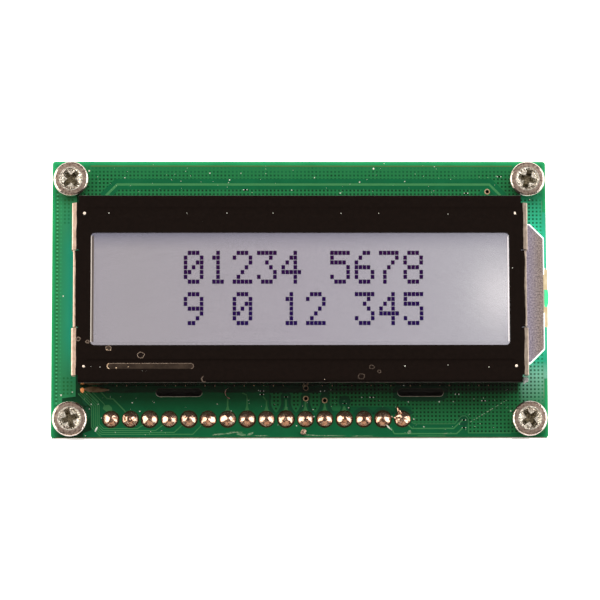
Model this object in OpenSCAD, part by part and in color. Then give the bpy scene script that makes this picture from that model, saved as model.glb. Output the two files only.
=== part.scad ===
// Character LCD module: two rows of sixteen characters on its own circuit board, lit from one end.
// The rows run along X, the top row is towards +Y and the display looks to +Z.
// The origin is under the middle of the board, on the surface that the four spacers stand on.

/* [Circuit board] */
// Strip of the board past the light guide's tongue, and as far out at the other end
end_margin = 0.55; // [0.45:0.05:4]
// Strip of the board below the bezel
lower_margin = 6.85; // [6.6:0.05:10]
// Strip of the board above the bezel
upper_margin = 5.25; // [5.1:0.05:8]
// Thickness of the board
board_t = 1.6; // [1:0.2:2]
// Radius of the board's corners
board_corner_r = 0.4; // [0.2:0.1:1.5]
// Distance of each mounting hole's centre from the two board edges beside it
hole_edge = 2.5; // [2.4:0.1:2.8]
// Length of the two open oblong slots
slot_l = 6.1; // [4:0.1:7]
// Width of the two open oblong slots
slot_w = 1.1; // [0.8:0.1:1.2]
// Distance between the centres of the two open slots
slot_span = 31.6; // [28:0.2:34]
// Distance of the open slots' centre line from the bezel's outer wall face
slot_gap = 0.9; // [0.8:0.05:1]

/* [Screws and spacers] */
// Thread size of the screws
screw_d = 2.5; // [2:0.5:2.5]
// Play of the screw in the board's hole, across the diameter
screw_play = 0.5; // [0.4:0.1:0.7]
// Play of the screw in the spacer's bore, across the diameter
thread_play = 0.05; // [0.03:0.01:0.1]
// Length of the screws under the head
screw_l = 6; // [5:1:8]
// Core of the thread in the spacers, as a share of the thread size
thread_core = 0.82; // [0.78:0.01:0.85]
// Free thread left under the screws' ends
screw_room = 0.4; // [0.2:0.1:1]
// Diameter of the pan heads
head_d = 4.6; // [4.2:0.1:4.8]
// Height of the pan heads
head_h = 1.7; // [1.4:0.1:2]
// Rise of the pan heads' middle over their edge
head_crown = 0.12; // [0.05:0.01:0.2]
// Radius of the pan heads' edge
head_edge = 0.35; // [0.2:0.05:0.5]
// Diameter of the shallow dish round the cross recess
dish_d = 3.1; // [2.8:0.1:3.3]
// Depth of that dish
dish_deep = 0.25; // [0.15:0.05:0.3]
// Span of the cross recess over two wings
recess_span = 2.7; // [2.4:0.1:2.9]
// Width of the cross recess's wings
recess_w = 0.7; // [0.5:0.05:0.8]
// Depth of the cross recess
recess_deep = 1.1; // [0.8:0.1:1.2]
// Width of the hexagon spacers across their flats
spacer_af = 4; // [3.8:0.1:4.3]
// Length of the spacers
spacer_l = 10; // [9:1:15]

/* [Header] */
// Number of pins
pin_count = 16; // [14:1:16]
// Distance from pin to pin
pin_pitch = 2.54; // [2:0.54:2.54]
// Side of the square pins
pin_side = 0.64; // [0.5:0.02:0.66]
// Length of the pins behind their plastic strip
pin_tail = 6; // [4:0.5:6]
// Length of the pins in front of the board
pin_front = 1.15; // [0.8:0.05:1.3]
// Distance of the row of pins from the board's lower edge
row_edge = 2.5; // [2.3:0.1:2.8]
// Distance of the first pin from the left mounting holes, along the board
row_start = 5.32; // [4.8:0.02:10]
// Width and height of the plastic strip
strip_side = 2.5; // [2.2:0.1:2.6]
// Diameter of the plated holes for the pins
pin_hole_d = 1; // [0.96:0.02:1.2]
// Diameter of the solder joints at the board
joint_d = 2.15; // [1.6:0.05:2.3]
// Height of the solder joints
joint_h = 1.5; // [1.4:0.05:1.9]
// Width of the solder joints' blunt tips
joint_tip_d = 0.3; // [0.1:0.05:0.5]

/* [Display glass] */
// How far the backlight's frame shows past the rear glass plate, at both long sides
glass_inset = 0.1; // [0:0.05:0.3]
// Thickness of each glass plate
glass_t = 1.1; // [0.7:0.1:1.1]
// Width of the front plate's ledge past the rear plate, at both long sides
ledge = 2.1; // [1.9:0.05:2.2]
// Thickness of the sealed gap between the plates
cell_gap = 0.05; // [0.02:0.01:0.1]
// Width of the seal round the cell
seal_w = 1; // [0.6:0.1:1.2]
// Distance of the seal from the rear plate's edges
seal_edge = 0.3; // [0.2:0.05:0.4]
// Thickness of each polariser film
polariser_t = 0.2; // [0.15:0.01:0.22]

/* [Light] */
// Length of the light guide inside its frame
guide_w = 56.2; // [55:0.1:56.4]
// Width of the light guide inside its frame
guide_h = 17.8; // [17:0.1:18]
// Thickness of the light guide
guide_t = 2.2; // [2:0.1:2.6]
// Thickness of the reflector film under the light guide
reflector_t = 0.1; // [0.05:0.05:0.2]
// Thickness of the diffuser film on the light guide
diffuser_t = 0.1; // [0.05:0.05:0.2]
// Thickness of the frame's walls
frame_wall = 0.65; // [0.5:0.05:0.7]
// How far the tongue is wider than the light guide, at each side
tongue_flare = 0.25; // [0:0.05:0.4]
// Length of the tongue past the bezel's end
tongue_out = 2.35; // [2.2:0.05:2.4]
// Size of the tongue's two chamfers
tongue_chamfer = 1.8; // [1:0.1:2]
// Shift of the tongue's middle from the bezel's middle, along Y
tongue_shift = -0.35; // [-0.4:0.05:0]
// Thickness of the cover tape on the tongue
tape_t = 0.1; // [0.05:0.01:0.15]
// Strip of the tongue that the tape leaves bare along its edges
tape_margin = 0.13; // [0.05:0.01:0.3]
// Length of the backlight LED's body
led_l = 5; // [3:0.5:6]
// Depth of the LED's body, along X
led_deep = 1.2; // [0.8:0.1:1.4]
// Distance between the middles of the LED's two legs
leg_span = 4.9; // [4.8:0.1:6]
// Width of each LED leg
leg_w = 2.4; // [1.6:0.1:2.6]

/* [Zebra strips] */
// Width of each rubber strip
zebra_w = 1.5; // [1.2:0.05:1.6]
// Distance of each rubber strip's ends from the ends of the glass
zebra_end = 1.8; // [0.5:0.1:3]

/* [Bezel] */
// Thickness of the bezel's sheet
sheet_t = 0.4; // [0.3:0.05:0.5]
// Gap between the glass and the bezel's long walls
wall_gap = 0.2; // [0.1:0.05:0.3]
// Gap between the glass and the bezel's middle flanges
end_gap = 0.2; // [0.1:0.05:0.3]
// How far the outer flanges stand proud of the middle ones
flange_step = 0.2; // [0.1:0.05:0.3]
// Length of the middle flange on each short side
flange_mid = 9.9; // [8:0.1:12]
// Width of the slits between the flanges
flange_slit = 0.15; // [0.1:0.05:0.4]
// Outer bend radius of the outer flanges
wide_bend_r = 0.9; // [0.6:0.05:1]
// Outer bend radius of the long walls and of the middle flanges
tight_bend_r = 0.55; // [0.55:0.05:0.7]
// Depth of the relief notch at each corner, along Y
notch_h = 0.45; // [0.3:0.05:0.6]
// Distance of the window from the ends of the glass
window_end = 1.7; // [1.5:0.1:3]
// Distance of the window from the long edges of the rear glass
window_side = 2.2; // [2:0.1:3]
// Radius of the window's corners
window_r = 0.5; // [0.2:0.1:1]
// Shift of the window's middle from the bezel's middle, along Y
window_shift = -0.05; // [-0.3:0.05:0.3]
// Bare margin between the window's edge and the front film, at the left
film_left = 0.42; // [0.1:0.02:0.6]
// The same margin at the right
film_right = 0.24; // [0.1:0.02:0.6]
// The same margin at the lower edge
film_lower = 0.44; // [0.1:0.02:0.6]
// The same margin at the upper edge
film_upper = 0.12; // [0.1:0.02:0.6]
// How far each embossed bead runs past the window, at both ends
bead_past = 1.05; // [0:0.05:1.1]
// Width of each embossed bead
bead_w = 1.5; // [1.2:0.05:1.6]
// Depth of each embossed bead
bead_deep = 0.25; // [0.15:0.05:0.3]
// Distance of each bead's middle from the long wall's outer face
bead_edge = 2.3; // [2:0.05:2.4]
// Width of the four tabs
tab_w = 3; // [2:0.1:4]
// Length of each tab's bent foot
tab_foot = 1.6; // [1.2:0.1:2]
// Inner bend radius of the tabs
tab_bend_r = 0.15; // [0.1:0.05:0.3]
// Distance of each tab's middle from the bezel's end
tab_end = 7.6; // [6:0.1:9]
// Play round a tab in its slot in the board
tab_play = 0.06; // [0.05:0.01:0.15]

/* [Back of the board] */
// Diameter of the resin domes over the chips
blob_d = 12; // [9:0.5:14]
// Height of the resin domes
blob_h = 1.3; // [0.8:0.1:1.8]
// Distance between the middles of the two domes
blob_span = 25; // [20:0.5:28]
// Length of the small chip parts
chip_l = 2; // [1.6:0.1:2]
// Width of the small chip parts
chip_w = 1.25; // [0.8:0.05:1.25]
// Space between two chip parts in a row
chip_space = 1.2; // [0.8:0.1:1.3]
// Distance of the row of resistors from the open slots' centre line
resistor_rise = 1; // [0.8:0.1:1.5]
// Number of chip resistors
resistor_count = 6; // [3:1:7]
// Number of chip capacitors
capacitor_count = 3; // [1:1:4]

/* [Hidden] */
$fn = 64;

// Small clearances and fixed proportions
fit = 0.02;            // play between pieces that are pressed or glued together
frame_play = 0.05;     // play of the light guide in its frame
over = 1;              // how far a cutter runs past the face that it cuts
pin_chamfer = 0.18;    // chamfer on the pins' ends
resistor_h = 0.5;
capacitor_h = 0.8;
chip_cap = 0.35;       // length of the metal ends of a chip part
chip_cap_t = 0.03;     // how far those ends stand proud
leg_t = 0.15;          // thickness of the LED's legs
leg_out = 0.4;         // how far the legs show past the LED's body
tape_gap = 0.2;        // clearance between the cover tape and the flanges above it
lap = 0.2;             // how far a fold runs back into the sheet that it is folded from

// Heights
board_bottom = spacer_l;
board_top = board_bottom + board_t;
guide_bottom = board_top + reflector_t;
guide_top = guide_bottom + guide_t;
tape_top = guide_top + tape_t;
diffuser_top = guide_top + diffuser_t;
rear_glass_z = diffuser_top + polariser_t;
front_glass_z = rear_glass_z + glass_t + cell_gap;
front_glass_top = front_glass_z + glass_t;
face_under = front_glass_top + fit + bead_deep;
face_top = face_under + sheet_t;

// Backlight and glass, which set the bezel's size
frame_w = guide_w + 2 * (frame_play + frame_wall);
frame_h = guide_h + 2 * (frame_play + frame_wall);
glass_w = frame_w;
rear_glass_h = frame_h - 2 * glass_inset;
glass_h = rear_glass_h + 2 * ledge;

// Places along X and Y
long_wall_y = glass_h / 2 + wall_gap + sheet_t;          // outer face, from the bezel's middle
mid_flange_x = glass_w / 2 + end_gap + sheet_t;
wide_flange_x = mid_flange_x + flange_step;
long_wall_l = 2 * (wide_flange_x - wide_bend_r);
flange_y = long_wall_y - tight_bend_r - notch_h;         // ends of the outer flanges
flange_bottom = tape_top + tape_gap;
tongue_x = frame_w / 2 - frame_wall;                     // the tongue starts past the frame's arms
tongue_end = wide_flange_x + tongue_out;
board_w = 2 * (tongue_end + end_margin);
board_h = 2 * long_wall_y + lower_margin + upper_margin;
bezel_shift = (lower_margin - upper_margin) / 2;         // of the bezel's middle, along Y
hole_x = board_w / 2 - hole_edge;
hole_y = board_h / 2 - hole_edge;
row_x = row_start - hole_x;                              // first pin
row_y = row_edge - board_h / 2;
tongue_h = guide_h + 2 * tongue_flare;
zebra_l = glass_w - 2 * zebra_end;
zebra_y = (frame_h / 2 + long_wall_y - sheet_t) / 2;
led_x = tongue_end - led_deep;
tab_slot_w = sheet_t + 2 * tab_play;
slot_y = bezel_shift - long_wall_y - slot_gap;
window_w = glass_w - 2 * window_end;
window_h = rear_glass_h - 2 * window_side;
window_y = bezel_shift + window_shift;
film_w = window_w - film_left - film_right;
film_h = window_h - film_lower - film_upper;
film_x = (film_left - film_right) / 2;
film_y = window_y + (film_lower - film_upper) / 2;
bead_y = long_wall_y - bead_edge;
bead_l = window_w + 2 * bead_past;
tab_x = wide_flange_x - tab_end;
screw_in = screw_l - board_t + screw_room;               // depth of the plain bore in a spacer

// A flat block on the plane z = 0, centred on the origin
module slab(w, h, t) {
  linear_extrude(t) square([w, h], center = true);
}

// A flat block with round corners
module rounded_slab(w, h, r, t) {
  linear_extrude(t) union() {
    square([w - 2 * r, h], center = true);
    square([w, h - 2 * r], center = true);
    for (sx = [-1, 1]) for (sy = [-1, 1])
      translate([sx * (w / 2 - r), sy * (h / 2 - r)]) circle(r = r);
  }
}

// An oblong along X with fully round ends, as a cutter or a boss
module oblong(l, w, t) {
  linear_extrude(t) union() {
    square([l - w, w], center = true);
    for (sx = [-1, 1]) translate([sx * (l - w) / 2, 0]) circle(d = w);
  }
}

// One copy at each mounting hole
module at_holes() {
  for (sx = [-1, 1]) for (sy = [-1, 1]) translate([sx * hole_x, sy * hole_y, 0]) children();
}

// One copy at each pin, numbered from the left
module at_pins() {
  for (i = [0 : pin_count - 1])
    translate([row_x + i * pin_pitch, row_y, 0]) children();
}

// One copy at each tab, turned so that +Y points out of the bezel
module at_tabs() {
  for (sx = [-1, 1]) for (turn = [0, 180])
    translate([sx * tab_x, bezel_shift, 0]) rotate(turn) children();
}

// ---- circuit board ----

module circuit_board() {
  color("seagreen") translate([0, 0, board_bottom]) difference() {
    rounded_slab(board_w, board_h, board_corner_r, board_t);
    at_holes() translate([0, 0, -over]) cylinder(d = screw_d + screw_play, h = board_t + 2 * over);
    at_pins() translate([0, 0, -over]) cylinder(d = pin_hole_d, h = board_t + 2 * over);
    for (sx = [-1, 1]) translate([sx * slot_span / 2, slot_y, -over])
      oblong(slot_l, slot_w, board_t + 2 * over);
    at_tabs() translate([0, long_wall_y - sheet_t / 2, -over])
      oblong(tab_w + 2 * tab_play + tab_slot_w, tab_slot_w, board_t + 2 * over);
  }
}

// ---- bezel: one sheet, blanked, embossed and folded ----

// Section of a wall folded down from the face: the bend starts at x = 0 and the sheet's top is y = 0
module fold_section(r, deep) {
  difference() {
    union() {
      intersection() {
        translate([0, -r]) circle(r = r);
        translate([0, -r]) square(r);
      }
      translate([r - sheet_t, -deep]) square([sheet_t, deep - r]);
      translate([-lap, -sheet_t]) square([lap, sheet_t]);
    }
    translate([0, -r]) circle(r = r - sheet_t);
  }
}

// A folded wall of length l, centred, whose outer face is at x = reach
module folded_wall(l, reach, r, deep) {
  translate([reach - r, l / 2, face_top]) rotate([90, 0, 0]) linear_extrude(l) fold_section(r, deep);
}

// The flat face between the bend lines
module face_blank() {
  wide = 2 * (wide_flange_x - wide_bend_r);
  mid = 2 * (mid_flange_x - tight_bend_r);
  high = 2 * (long_wall_y - tight_bend_r);
  translate([0, 0, face_under]) linear_extrude(sheet_t) difference() {
    union() {
      square([wide, high], center = true);
      square([mid, flange_mid], center = true);
    }
    for (sx = [-1, 1]) for (sy = [-1, 1])                 // slits beside the middle flanges
      translate([sx * mid / 2, sy * (flange_mid + flange_slit) / 2])
        square([2 * flange_step, flange_slit], center = true);
  }
}

// Straight bead with ball ends, r is the forming tool's radius
module bead_tool(r) {
  rise = bead_tool_r() - bead_deep;
  half = bead_l / 2 - bead_w / 2;
  translate([-half, 0, face_top + rise]) rotate([0, 90, 0]) cylinder(r = r, h = 2 * half);
  for (sx = [-1, 1]) translate([sx * half, 0, face_top + rise]) sphere(r = r);
}

// Radius of the tool that presses a bead of the given width and depth
function bead_tool_r() = (pow(bead_w / 2, 2) + pow(bead_deep, 2)) / (2 * bead_deep);

// The ridge that a bead leaves under the face
module bead_ridges() {
  for (sy = [-1, 1]) translate([0, sy * bead_y, 0]) intersection() {
    bead_tool(bead_tool_r() + sheet_t);
    translate([0, 0, face_under - bead_deep - over])
      slab(window_w + 2 * bead_w + over, 4 * bead_w, bead_deep + over + sheet_t / 2);
  }
}

module window_cutter() {
  translate([0, window_shift, face_under - over])
    rounded_slab(window_w, window_h, window_r, sheet_t + 2 * over);
}

// One tab: through the board, then bent in behind it
module tab() {
  r = tab_bend_r + sheet_t;
  drop = board_t + tab_bend_r;
  translate([-tab_w / 2, long_wall_y, board_top]) rotate([90, 0, 90]) linear_extrude(tab_w) {
    translate([-sheet_t, -drop]) square([sheet_t, drop + lap]);
    intersection() {
      difference() {
        translate([-r, -drop]) circle(r = r);
        translate([-r, -drop]) circle(r = tab_bend_r);
      }
      translate([-r, -drop - r]) square(r);
    }
    translate([-r - tab_foot, -drop - r]) square([tab_foot, sheet_t]);
  }
}

module bezel() {
  color("#1f1715") union() {
    translate([0, bezel_shift, 0]) difference() {
      union() {
        face_blank();
        bead_ridges();
        for (turn = [90, 270]) rotate(turn)
          folded_wall(long_wall_l, long_wall_y, tight_bend_r, face_top - board_top);
        for (turn = [0, 180]) rotate(turn) {
          folded_wall(flange_mid, mid_flange_x, tight_bend_r, face_top - flange_bottom);
          for (sy = [-1, 1]) translate([0, sy * (flange_y + flange_mid / 2 + flange_slit) / 2, 0])
            folded_wall(flange_y - flange_mid / 2 - flange_slit, wide_flange_x, wide_bend_r,
              face_top - flange_bottom);
        }
      }
      for (sy = [-1, 1]) translate([0, sy * bead_y, 0]) bead_tool(bead_tool_r());
      window_cutter();
    }
    at_tabs() tab();
  }
}

// ---- display cell ----

module front_polariser() {
  color("lavender") translate([film_x, film_y, front_glass_top]) slab(film_w, film_h, polariser_t);
}

module front_glass() {
  color("lightsteelblue") translate([0, bezel_shift, front_glass_z]) slab(glass_w, glass_h, glass_t);
}

module cell_seal() {
  outer = 2 * seal_edge;
  inner = 2 * (seal_edge + seal_w);
  color("gainsboro") translate([0, bezel_shift, rear_glass_z + glass_t]) linear_extrude(cell_gap)
    difference() {
      square([glass_w - outer, rear_glass_h - outer], center = true);
      square([glass_w - inner, rear_glass_h - inner], center = true);
    }
}

module rear_glass() {
  color("lightsteelblue") translate([0, bezel_shift, rear_glass_z])
    slab(glass_w, rear_glass_h, glass_t);
}

module rear_polariser() {
  color("thistle") translate([0, bezel_shift, diffuser_top]) slab(guide_w, guide_h, polariser_t);
}

// ---- backlight ----

module diffuser_film() {
  color("white") translate([0, bezel_shift, guide_top]) slab(guide_w, guide_h, diffuser_t);
}

// Outline of the tongue past the frame, drawn smaller by margin on its three free sides
module tongue_outline(from, margin) {
  end = tongue_end - margin;
  top = tongue_h / 2 - margin;
  c = tongue_chamfer;
  polygon([[from, -top], [end - c, -top], [end, c - top], [end, top - c], [end - c, top], [from, top]]);
}

module light_guide() {
  color("aliceblue") translate([0, 0, guide_bottom]) linear_extrude(guide_t) difference() {
    union() {
      translate([(tongue_x + frame_play - guide_w / 2) / 2, bezel_shift])
        square([guide_w / 2 + tongue_x + frame_play, guide_h], center = true);
      translate([0, bezel_shift + tongue_shift]) tongue_outline(tongue_x + frame_play, 0);
    }
    translate([led_x - fit, bezel_shift + tongue_shift - led_l / 2 - fit])
      square([led_deep + over, led_l + 2 * fit]);
  }
}

module reflector_film() {
  color("white") translate([0, bezel_shift, board_top]) slab(guide_w, guide_h, reflector_t);
}

// White moulded frame, open at the end where the tongue leaves
module backlight_frame() {
  color("whitesmoke") translate([0, bezel_shift, board_top])
    linear_extrude(rear_glass_z - board_top) difference() {
      square([frame_w, frame_h], center = true);
      translate([frame_wall, 0])
        square([frame_w + 2 * frame_wall - over, guide_h + 2 * frame_play], center = true);
      translate([tongue_x, -frame_h / 2 - over]) square([frame_wall + over, frame_h + 2 * over]);
    }
}

// Side-firing LED in the tongue's pocket, with a leg at each end on the board
module backlight_led() {
  color("ivory") translate([led_x, bezel_shift + tongue_shift, board_top]) {
    translate([led_deep / 2, 0, 0]) slab(led_deep, led_l, guide_t);
    for (sy = [-1, 1]) translate([led_deep + leg_out / 2, sy * leg_span / 2, 0])
      slab(leg_out, leg_w, leg_t);
  }
}

module cover_tape() {
  color("rosybrown") translate([0, bezel_shift + tongue_shift, guide_top])
    linear_extrude(tape_t) tongue_outline(tongue_x + frame_wall, tape_margin);
}

// ---- zebra strips ----

module zebra_strip(side) {
  color("dimgray") translate([0, bezel_shift + side * zebra_y, board_top])
    slab(zebra_l, zebra_w, front_glass_z - board_top);
}

module zebra_strip_upper() { zebra_strip(1); }

module zebra_strip_lower() { zebra_strip(-1); }

// ---- header ----

// One cell of the strip: a square block whose corners are cut where it snaps apart
module header_cell() {
  half = pin_pitch / 2;
  side = strip_side / 2;
  cut = strip_side / 5;
  linear_extrude(strip_side) polygon([[half, side - cut], [half - cut, side], [cut - half, side],
    [-half, side - cut], [-half, cut - side], [cut - half, -side], [half - cut, -side],
    [half, cut - side]]);
}

module header_body() {
  color("#222222") translate([0, 0, board_bottom - strip_side]) difference() {
    at_pins() header_cell();
    at_pins() translate([0, 0, -over]) slab(pin_side, pin_side, strip_side + 2 * over);
  }
}

// Side view of a pin, chamfered at both ends
module pin_profile() {
  half = pin_side / 2;
  c = pin_chamfer;
  low = board_bottom - strip_side - pin_tail;
  high = board_top + pin_front;
  polygon([[-half, low + c], [c - half, low], [half - c, low], [half, low + c], [half, high - c],
    [half - c, high], [c - half, high], [-half, high - c]]);
}

module square_pin() {
  intersection() {
    rotate([90, 0, 0]) linear_extrude(pin_side, center = true) pin_profile();
    rotate([90, 0, 90]) linear_extrude(pin_side, center = true) pin_profile();
  }
}

module header_pins() {
  color("goldenrod") at_pins() square_pin();
}

// Pointed dome of solder, its side an arc and its tip blunt, with the fill of the plated hole under it
module solder_joint() {
  $fn = 28;
  r = joint_d / 2;
  tip = joint_tip_d / 2;
  inset = (pow(joint_h, 2) + pow(tip, 2) - pow(r, 2)) / (2 * (r - tip));  // arc's centre past the axis
  difference() {
    union() {
      rotate_extrude() intersection() {
        translate([-inset, 0]) circle(r = r + inset);
        square([r, joint_h]);
      }
      translate([0, 0, -board_t]) cylinder(d = pin_hole_d - 2 * fit, h = board_t + fit);
    }
    translate([0, 0, -board_t - over]) slab(pin_side, pin_side, board_t + pin_front + over);
  }
}

module solder_joints() {
  color("lightgray") translate([0, 0, board_top]) at_pins() solder_joint();
}

// ---- back of the board ----

// Low dome of resin that hangs under the board
module blob(side) {
  r = (pow(blob_d / 2, 2) + pow(blob_h, 2)) / (2 * blob_h);
  color("#181818") translate([side * blob_span / 2, bezel_shift, board_bottom]) mirror([0, 0, 1])
    rotate_extrude() intersection() {
      translate([0, blob_h - r]) circle(r = r, $fn = 128);
      square([blob_d / 2, blob_h]);
    }
}

module controller_blob() { blob(-1); }

module driver_blob() { blob(1); }

// A chip part under the board, its two metal ends a little proud of its body
module chip(h) {
  body = chip_l - 2 * chip_cap_t;
  translate([0, 0, board_bottom - h]) union() {
    translate([0, 0, chip_cap_t]) slab(chip_w - 2 * chip_cap_t, body, h - 2 * chip_cap_t);
    for (sy = [-1, 1]) translate([0, sy * (chip_l - chip_cap) / 2, 0]) slab(chip_w, chip_cap, h);
  }
}

// A row of equal parts between the domes and the header, spread to both sides of x
module chip_row(count, x, y, h) {
  pitch = chip_w + chip_space;
  for (i = [0 : count - 1]) translate([x + (i - (count - 1) / 2) * pitch, y, 0]) chip(h);
}

module chip_resistors() {
  color("black") chip_row(resistor_count, 0, slot_y + resistor_rise, resistor_h);
}

module chip_capacitors() {
  color("tan") chip_row(capacitor_count, 0, bezel_shift, capacitor_h);
}

// ---- screws and spacers ----

// One wing of the cross recess: a flat blade that narrows downwards
module recess_wing() {
  top = recess_span / 2;
  low = recess_span / 4;
  rotate([90, 0, 0]) linear_extrude(recess_w, center = true)
    polygon([[-top, over], [-top, 0], [-low, -recess_deep], [low, -recess_deep], [top, 0], [top, over]]);
}

// Half of a pan head's section: a low crown, a rounded edge and a straight side
module head_profile() {
  half = head_d / 2 - head_edge;
  rim = head_h - head_crown;
  r = (pow(half, 2) + pow(head_crown, 2)) / (2 * head_crown);
  square([head_d / 2, rim - head_edge]);
  square([half, rim]);
  translate([half, rim - head_edge]) circle(r = head_edge);
  intersection() {
    translate([0, head_h - r]) circle(r = r);
    square([half, head_h]);
  }
}

module mounting_screw() {
  difference() {
    union() {
      rotate_extrude() head_profile();
      translate([0, 0, -screw_l]) cylinder(d = screw_d, h = screw_l + head_h / 2);
    }
    translate([0, 0, head_h]) {
      recess_wing();
      rotate(90) recess_wing();
      translate([0, 0, -recess_deep]) cylinder(d1 = recess_w, d2 = 2 * recess_w, h = recess_deep + over);
      translate([0, 0, -dish_deep]) cylinder(d1 = dish_d - 4 * dish_deep, d2 = dish_d, h = dish_deep);
    }
  }
}

module mounting_screws() {
  turns = [[-1, 1, 45], [1, 1, 73], [-1, -1, 18], [1, -1, 35]];
  color("silver") for (t = turns)
    translate([t[0] * hole_x, t[1] * hole_y, board_top]) rotate(t[2]) mounting_screw();
}

// Hexagon spacer with its corners turned off at both ends. The bore is plain and as wide as the screw
// where the screw sits in it, and as wide as the thread's core below that.
module spacer() {
  corner_r = spacer_af / 2 / cos(30);
  chamfer = 0.3;
  difference() {
    intersection() {
      cylinder(r = corner_r, h = spacer_l, $fn = 6);
      union() {
        cylinder(r1 = corner_r - chamfer, r2 = corner_r, h = chamfer);
        translate([0, 0, chamfer]) cylinder(r = corner_r, h = spacer_l - 2 * chamfer);
        translate([0, 0, spacer_l - chamfer]) cylinder(r1 = corner_r, r2 = corner_r - chamfer, h = chamfer);
      }
    }
    translate([0, 0, -over]) cylinder(d = thread_core * screw_d, h = spacer_l + 2 * over);
    translate([0, 0, spacer_l - screw_in]) cylinder(d = screw_d + thread_play, h = screw_in + over);
  }
}

module spacers() {
  color("gold") at_holes() spacer();
}

circuit_board();
bezel();
front_polariser();
front_glass();
cell_seal();
rear_glass();
rear_polariser();
diffuser_film();
light_guide();
reflector_film();
backlight_frame();
backlight_led();
cover_tape();
zebra_strip_upper();
zebra_strip_lower();
header_body();
header_pins();
solder_joints();
controller_blob();
driver_blob();
chip_resistors();
chip_capacitors();
mounting_screws();
spacers();
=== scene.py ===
import math
import random

import bmesh
import bpy
from mathutils import Matrix, Vector, geometry, noise


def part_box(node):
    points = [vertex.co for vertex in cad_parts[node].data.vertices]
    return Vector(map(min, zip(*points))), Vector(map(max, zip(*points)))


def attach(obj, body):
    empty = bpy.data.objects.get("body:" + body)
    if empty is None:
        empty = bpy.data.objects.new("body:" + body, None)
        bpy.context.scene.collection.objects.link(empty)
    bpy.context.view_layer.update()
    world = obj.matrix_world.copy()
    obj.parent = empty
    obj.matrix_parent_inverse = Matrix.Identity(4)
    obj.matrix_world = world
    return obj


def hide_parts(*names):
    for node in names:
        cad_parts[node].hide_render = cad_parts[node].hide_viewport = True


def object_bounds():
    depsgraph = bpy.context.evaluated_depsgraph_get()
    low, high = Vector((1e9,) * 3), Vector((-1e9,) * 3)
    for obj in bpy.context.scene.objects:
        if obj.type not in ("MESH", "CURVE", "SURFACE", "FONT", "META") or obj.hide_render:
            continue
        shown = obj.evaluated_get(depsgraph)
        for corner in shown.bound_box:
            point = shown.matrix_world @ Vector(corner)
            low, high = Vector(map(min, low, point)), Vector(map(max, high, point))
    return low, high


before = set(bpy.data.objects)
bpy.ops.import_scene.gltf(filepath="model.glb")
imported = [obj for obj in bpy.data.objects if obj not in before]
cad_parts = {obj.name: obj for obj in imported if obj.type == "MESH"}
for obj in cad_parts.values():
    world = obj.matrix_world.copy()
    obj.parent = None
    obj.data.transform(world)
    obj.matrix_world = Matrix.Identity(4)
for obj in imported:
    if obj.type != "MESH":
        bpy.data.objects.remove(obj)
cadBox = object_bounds()
mm = 0.001
scene = bpy.context.scene
scene.view_settings.view_transform = "Standard"  # plain colours, no film curve

boardLow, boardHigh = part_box("circuit_board")
bezelLow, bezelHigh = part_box("bezel")
boardTop = boardHigh.z
boardUnder = boardLow.z
bezelMiddle = (bezelLow.y + bezelHigh.y) / 2 / mm  # millimetres along Y
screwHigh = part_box("mounting_screws")[1].z
holeX, holeY = 30.0, 15.75  # the mounting holes' places, millimetres


def linearColour(code):  # sRGB hex such as "1f8a54" to the linear colour that the shaders want
    parts = [int(code[i:i + 2], 16) / 255 for i in (0, 2, 4)]
    return [p / 12.92 if p <= 0.04045 else ((p + 0.055) / 1.055) ** 2.4 for p in parts] + [1.0]


def perMetre(size):  # texture scale of a pattern whose features are this many millimetres
    return 1000 / size


def addNode(tree, kind, settings=None, links=None):
    node = tree.nodes.new("ShaderNode" + kind)
    for key, value in (settings or {}).items():
        if key == "ramp":  # list of (place, hex colour or grey)
            stops = node.color_ramp.elements
            while len(stops) < len(value):
                stops.new(0.5)
            for stop, (place, tint) in zip(stops, value):
                stop.position = place
                stop.color = linearColour(tint) if isinstance(tint, str) else (tint, tint, tint, 1)
        elif isinstance(key, str) and hasattr(node, key):
            setattr(node, key, value)
        else:
            node.inputs[key].default_value = value
    for key, socket in (links or {}).items():
        tree.links.new(socket, node.inputs[key])
    return node


def startMaterial(name, colour, roughness, metallic=0.0, ior=1.5):
    material = bpy.data.materials.new(name)
    material.use_nodes = True
    tree = material.node_tree
    shader = tree.nodes["Principled BSDF"]
    shader.inputs["Base Color"].default_value = linearColour(colour)
    shader.inputs["Roughness"].default_value = roughness
    shader.inputs["Metallic"].default_value = metallic
    shader.inputs["IOR"].default_value = ior
    place = addNode(tree, "TexCoord").outputs["Object"]
    return material, tree, shader, place


def mottle(tree, place, size, low, high, detail=3.0):  # soft cloudy value between low and high
    soft = addNode(tree, "TexNoise", {"Scale": perMetre(size), "Detail": detail}, {"Vector": place})
    return addNode(tree, "MapRange", {"From Min": 0.3, "From Max": 0.7, "To Min": low, "To Max": high},
                   {"Value": soft.outputs["Fac"]}).outputs["Result"]


def relief(tree, shader, height, depth):  # depth in millimetres
    bump = addNode(tree, "Bump", {"Distance": depth * mm}, {"Height": height})
    tree.links.new(bump.outputs["Normal"], shader.inputs["Normal"])


def tinted(tree, factor, first, second):  # colour mix of two hex colours or sockets
    settings, links = {"data_type": "RGBA"}, {0: factor}
    for key, tint in ((6, first), (7, second)):
        if isinstance(tint, str):
            settings[key] = linearColour(tint)
        else:
            links[key] = tint
    return addNode(tree, "Mix", settings, links).outputs[2]


def compute(tree, operation, *values):  # arithmetic on sockets and numbers
    settings = {"operation": operation}
    settings.update({i: v for i, v in enumerate(values) if isinstance(v, (int, float))})
    links = {i: v for i, v in enumerate(values) if not isinstance(v, (int, float))}
    return addNode(tree, "Math", settings, links).outputs[0]


def cloudy(tree, shader, place, size, dark, light):  # base colour that drifts between two
    tree.links.new(tinted(tree, mottle(tree, place, size, 0, 1), dark, light), shader.inputs["Base Color"])


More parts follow.
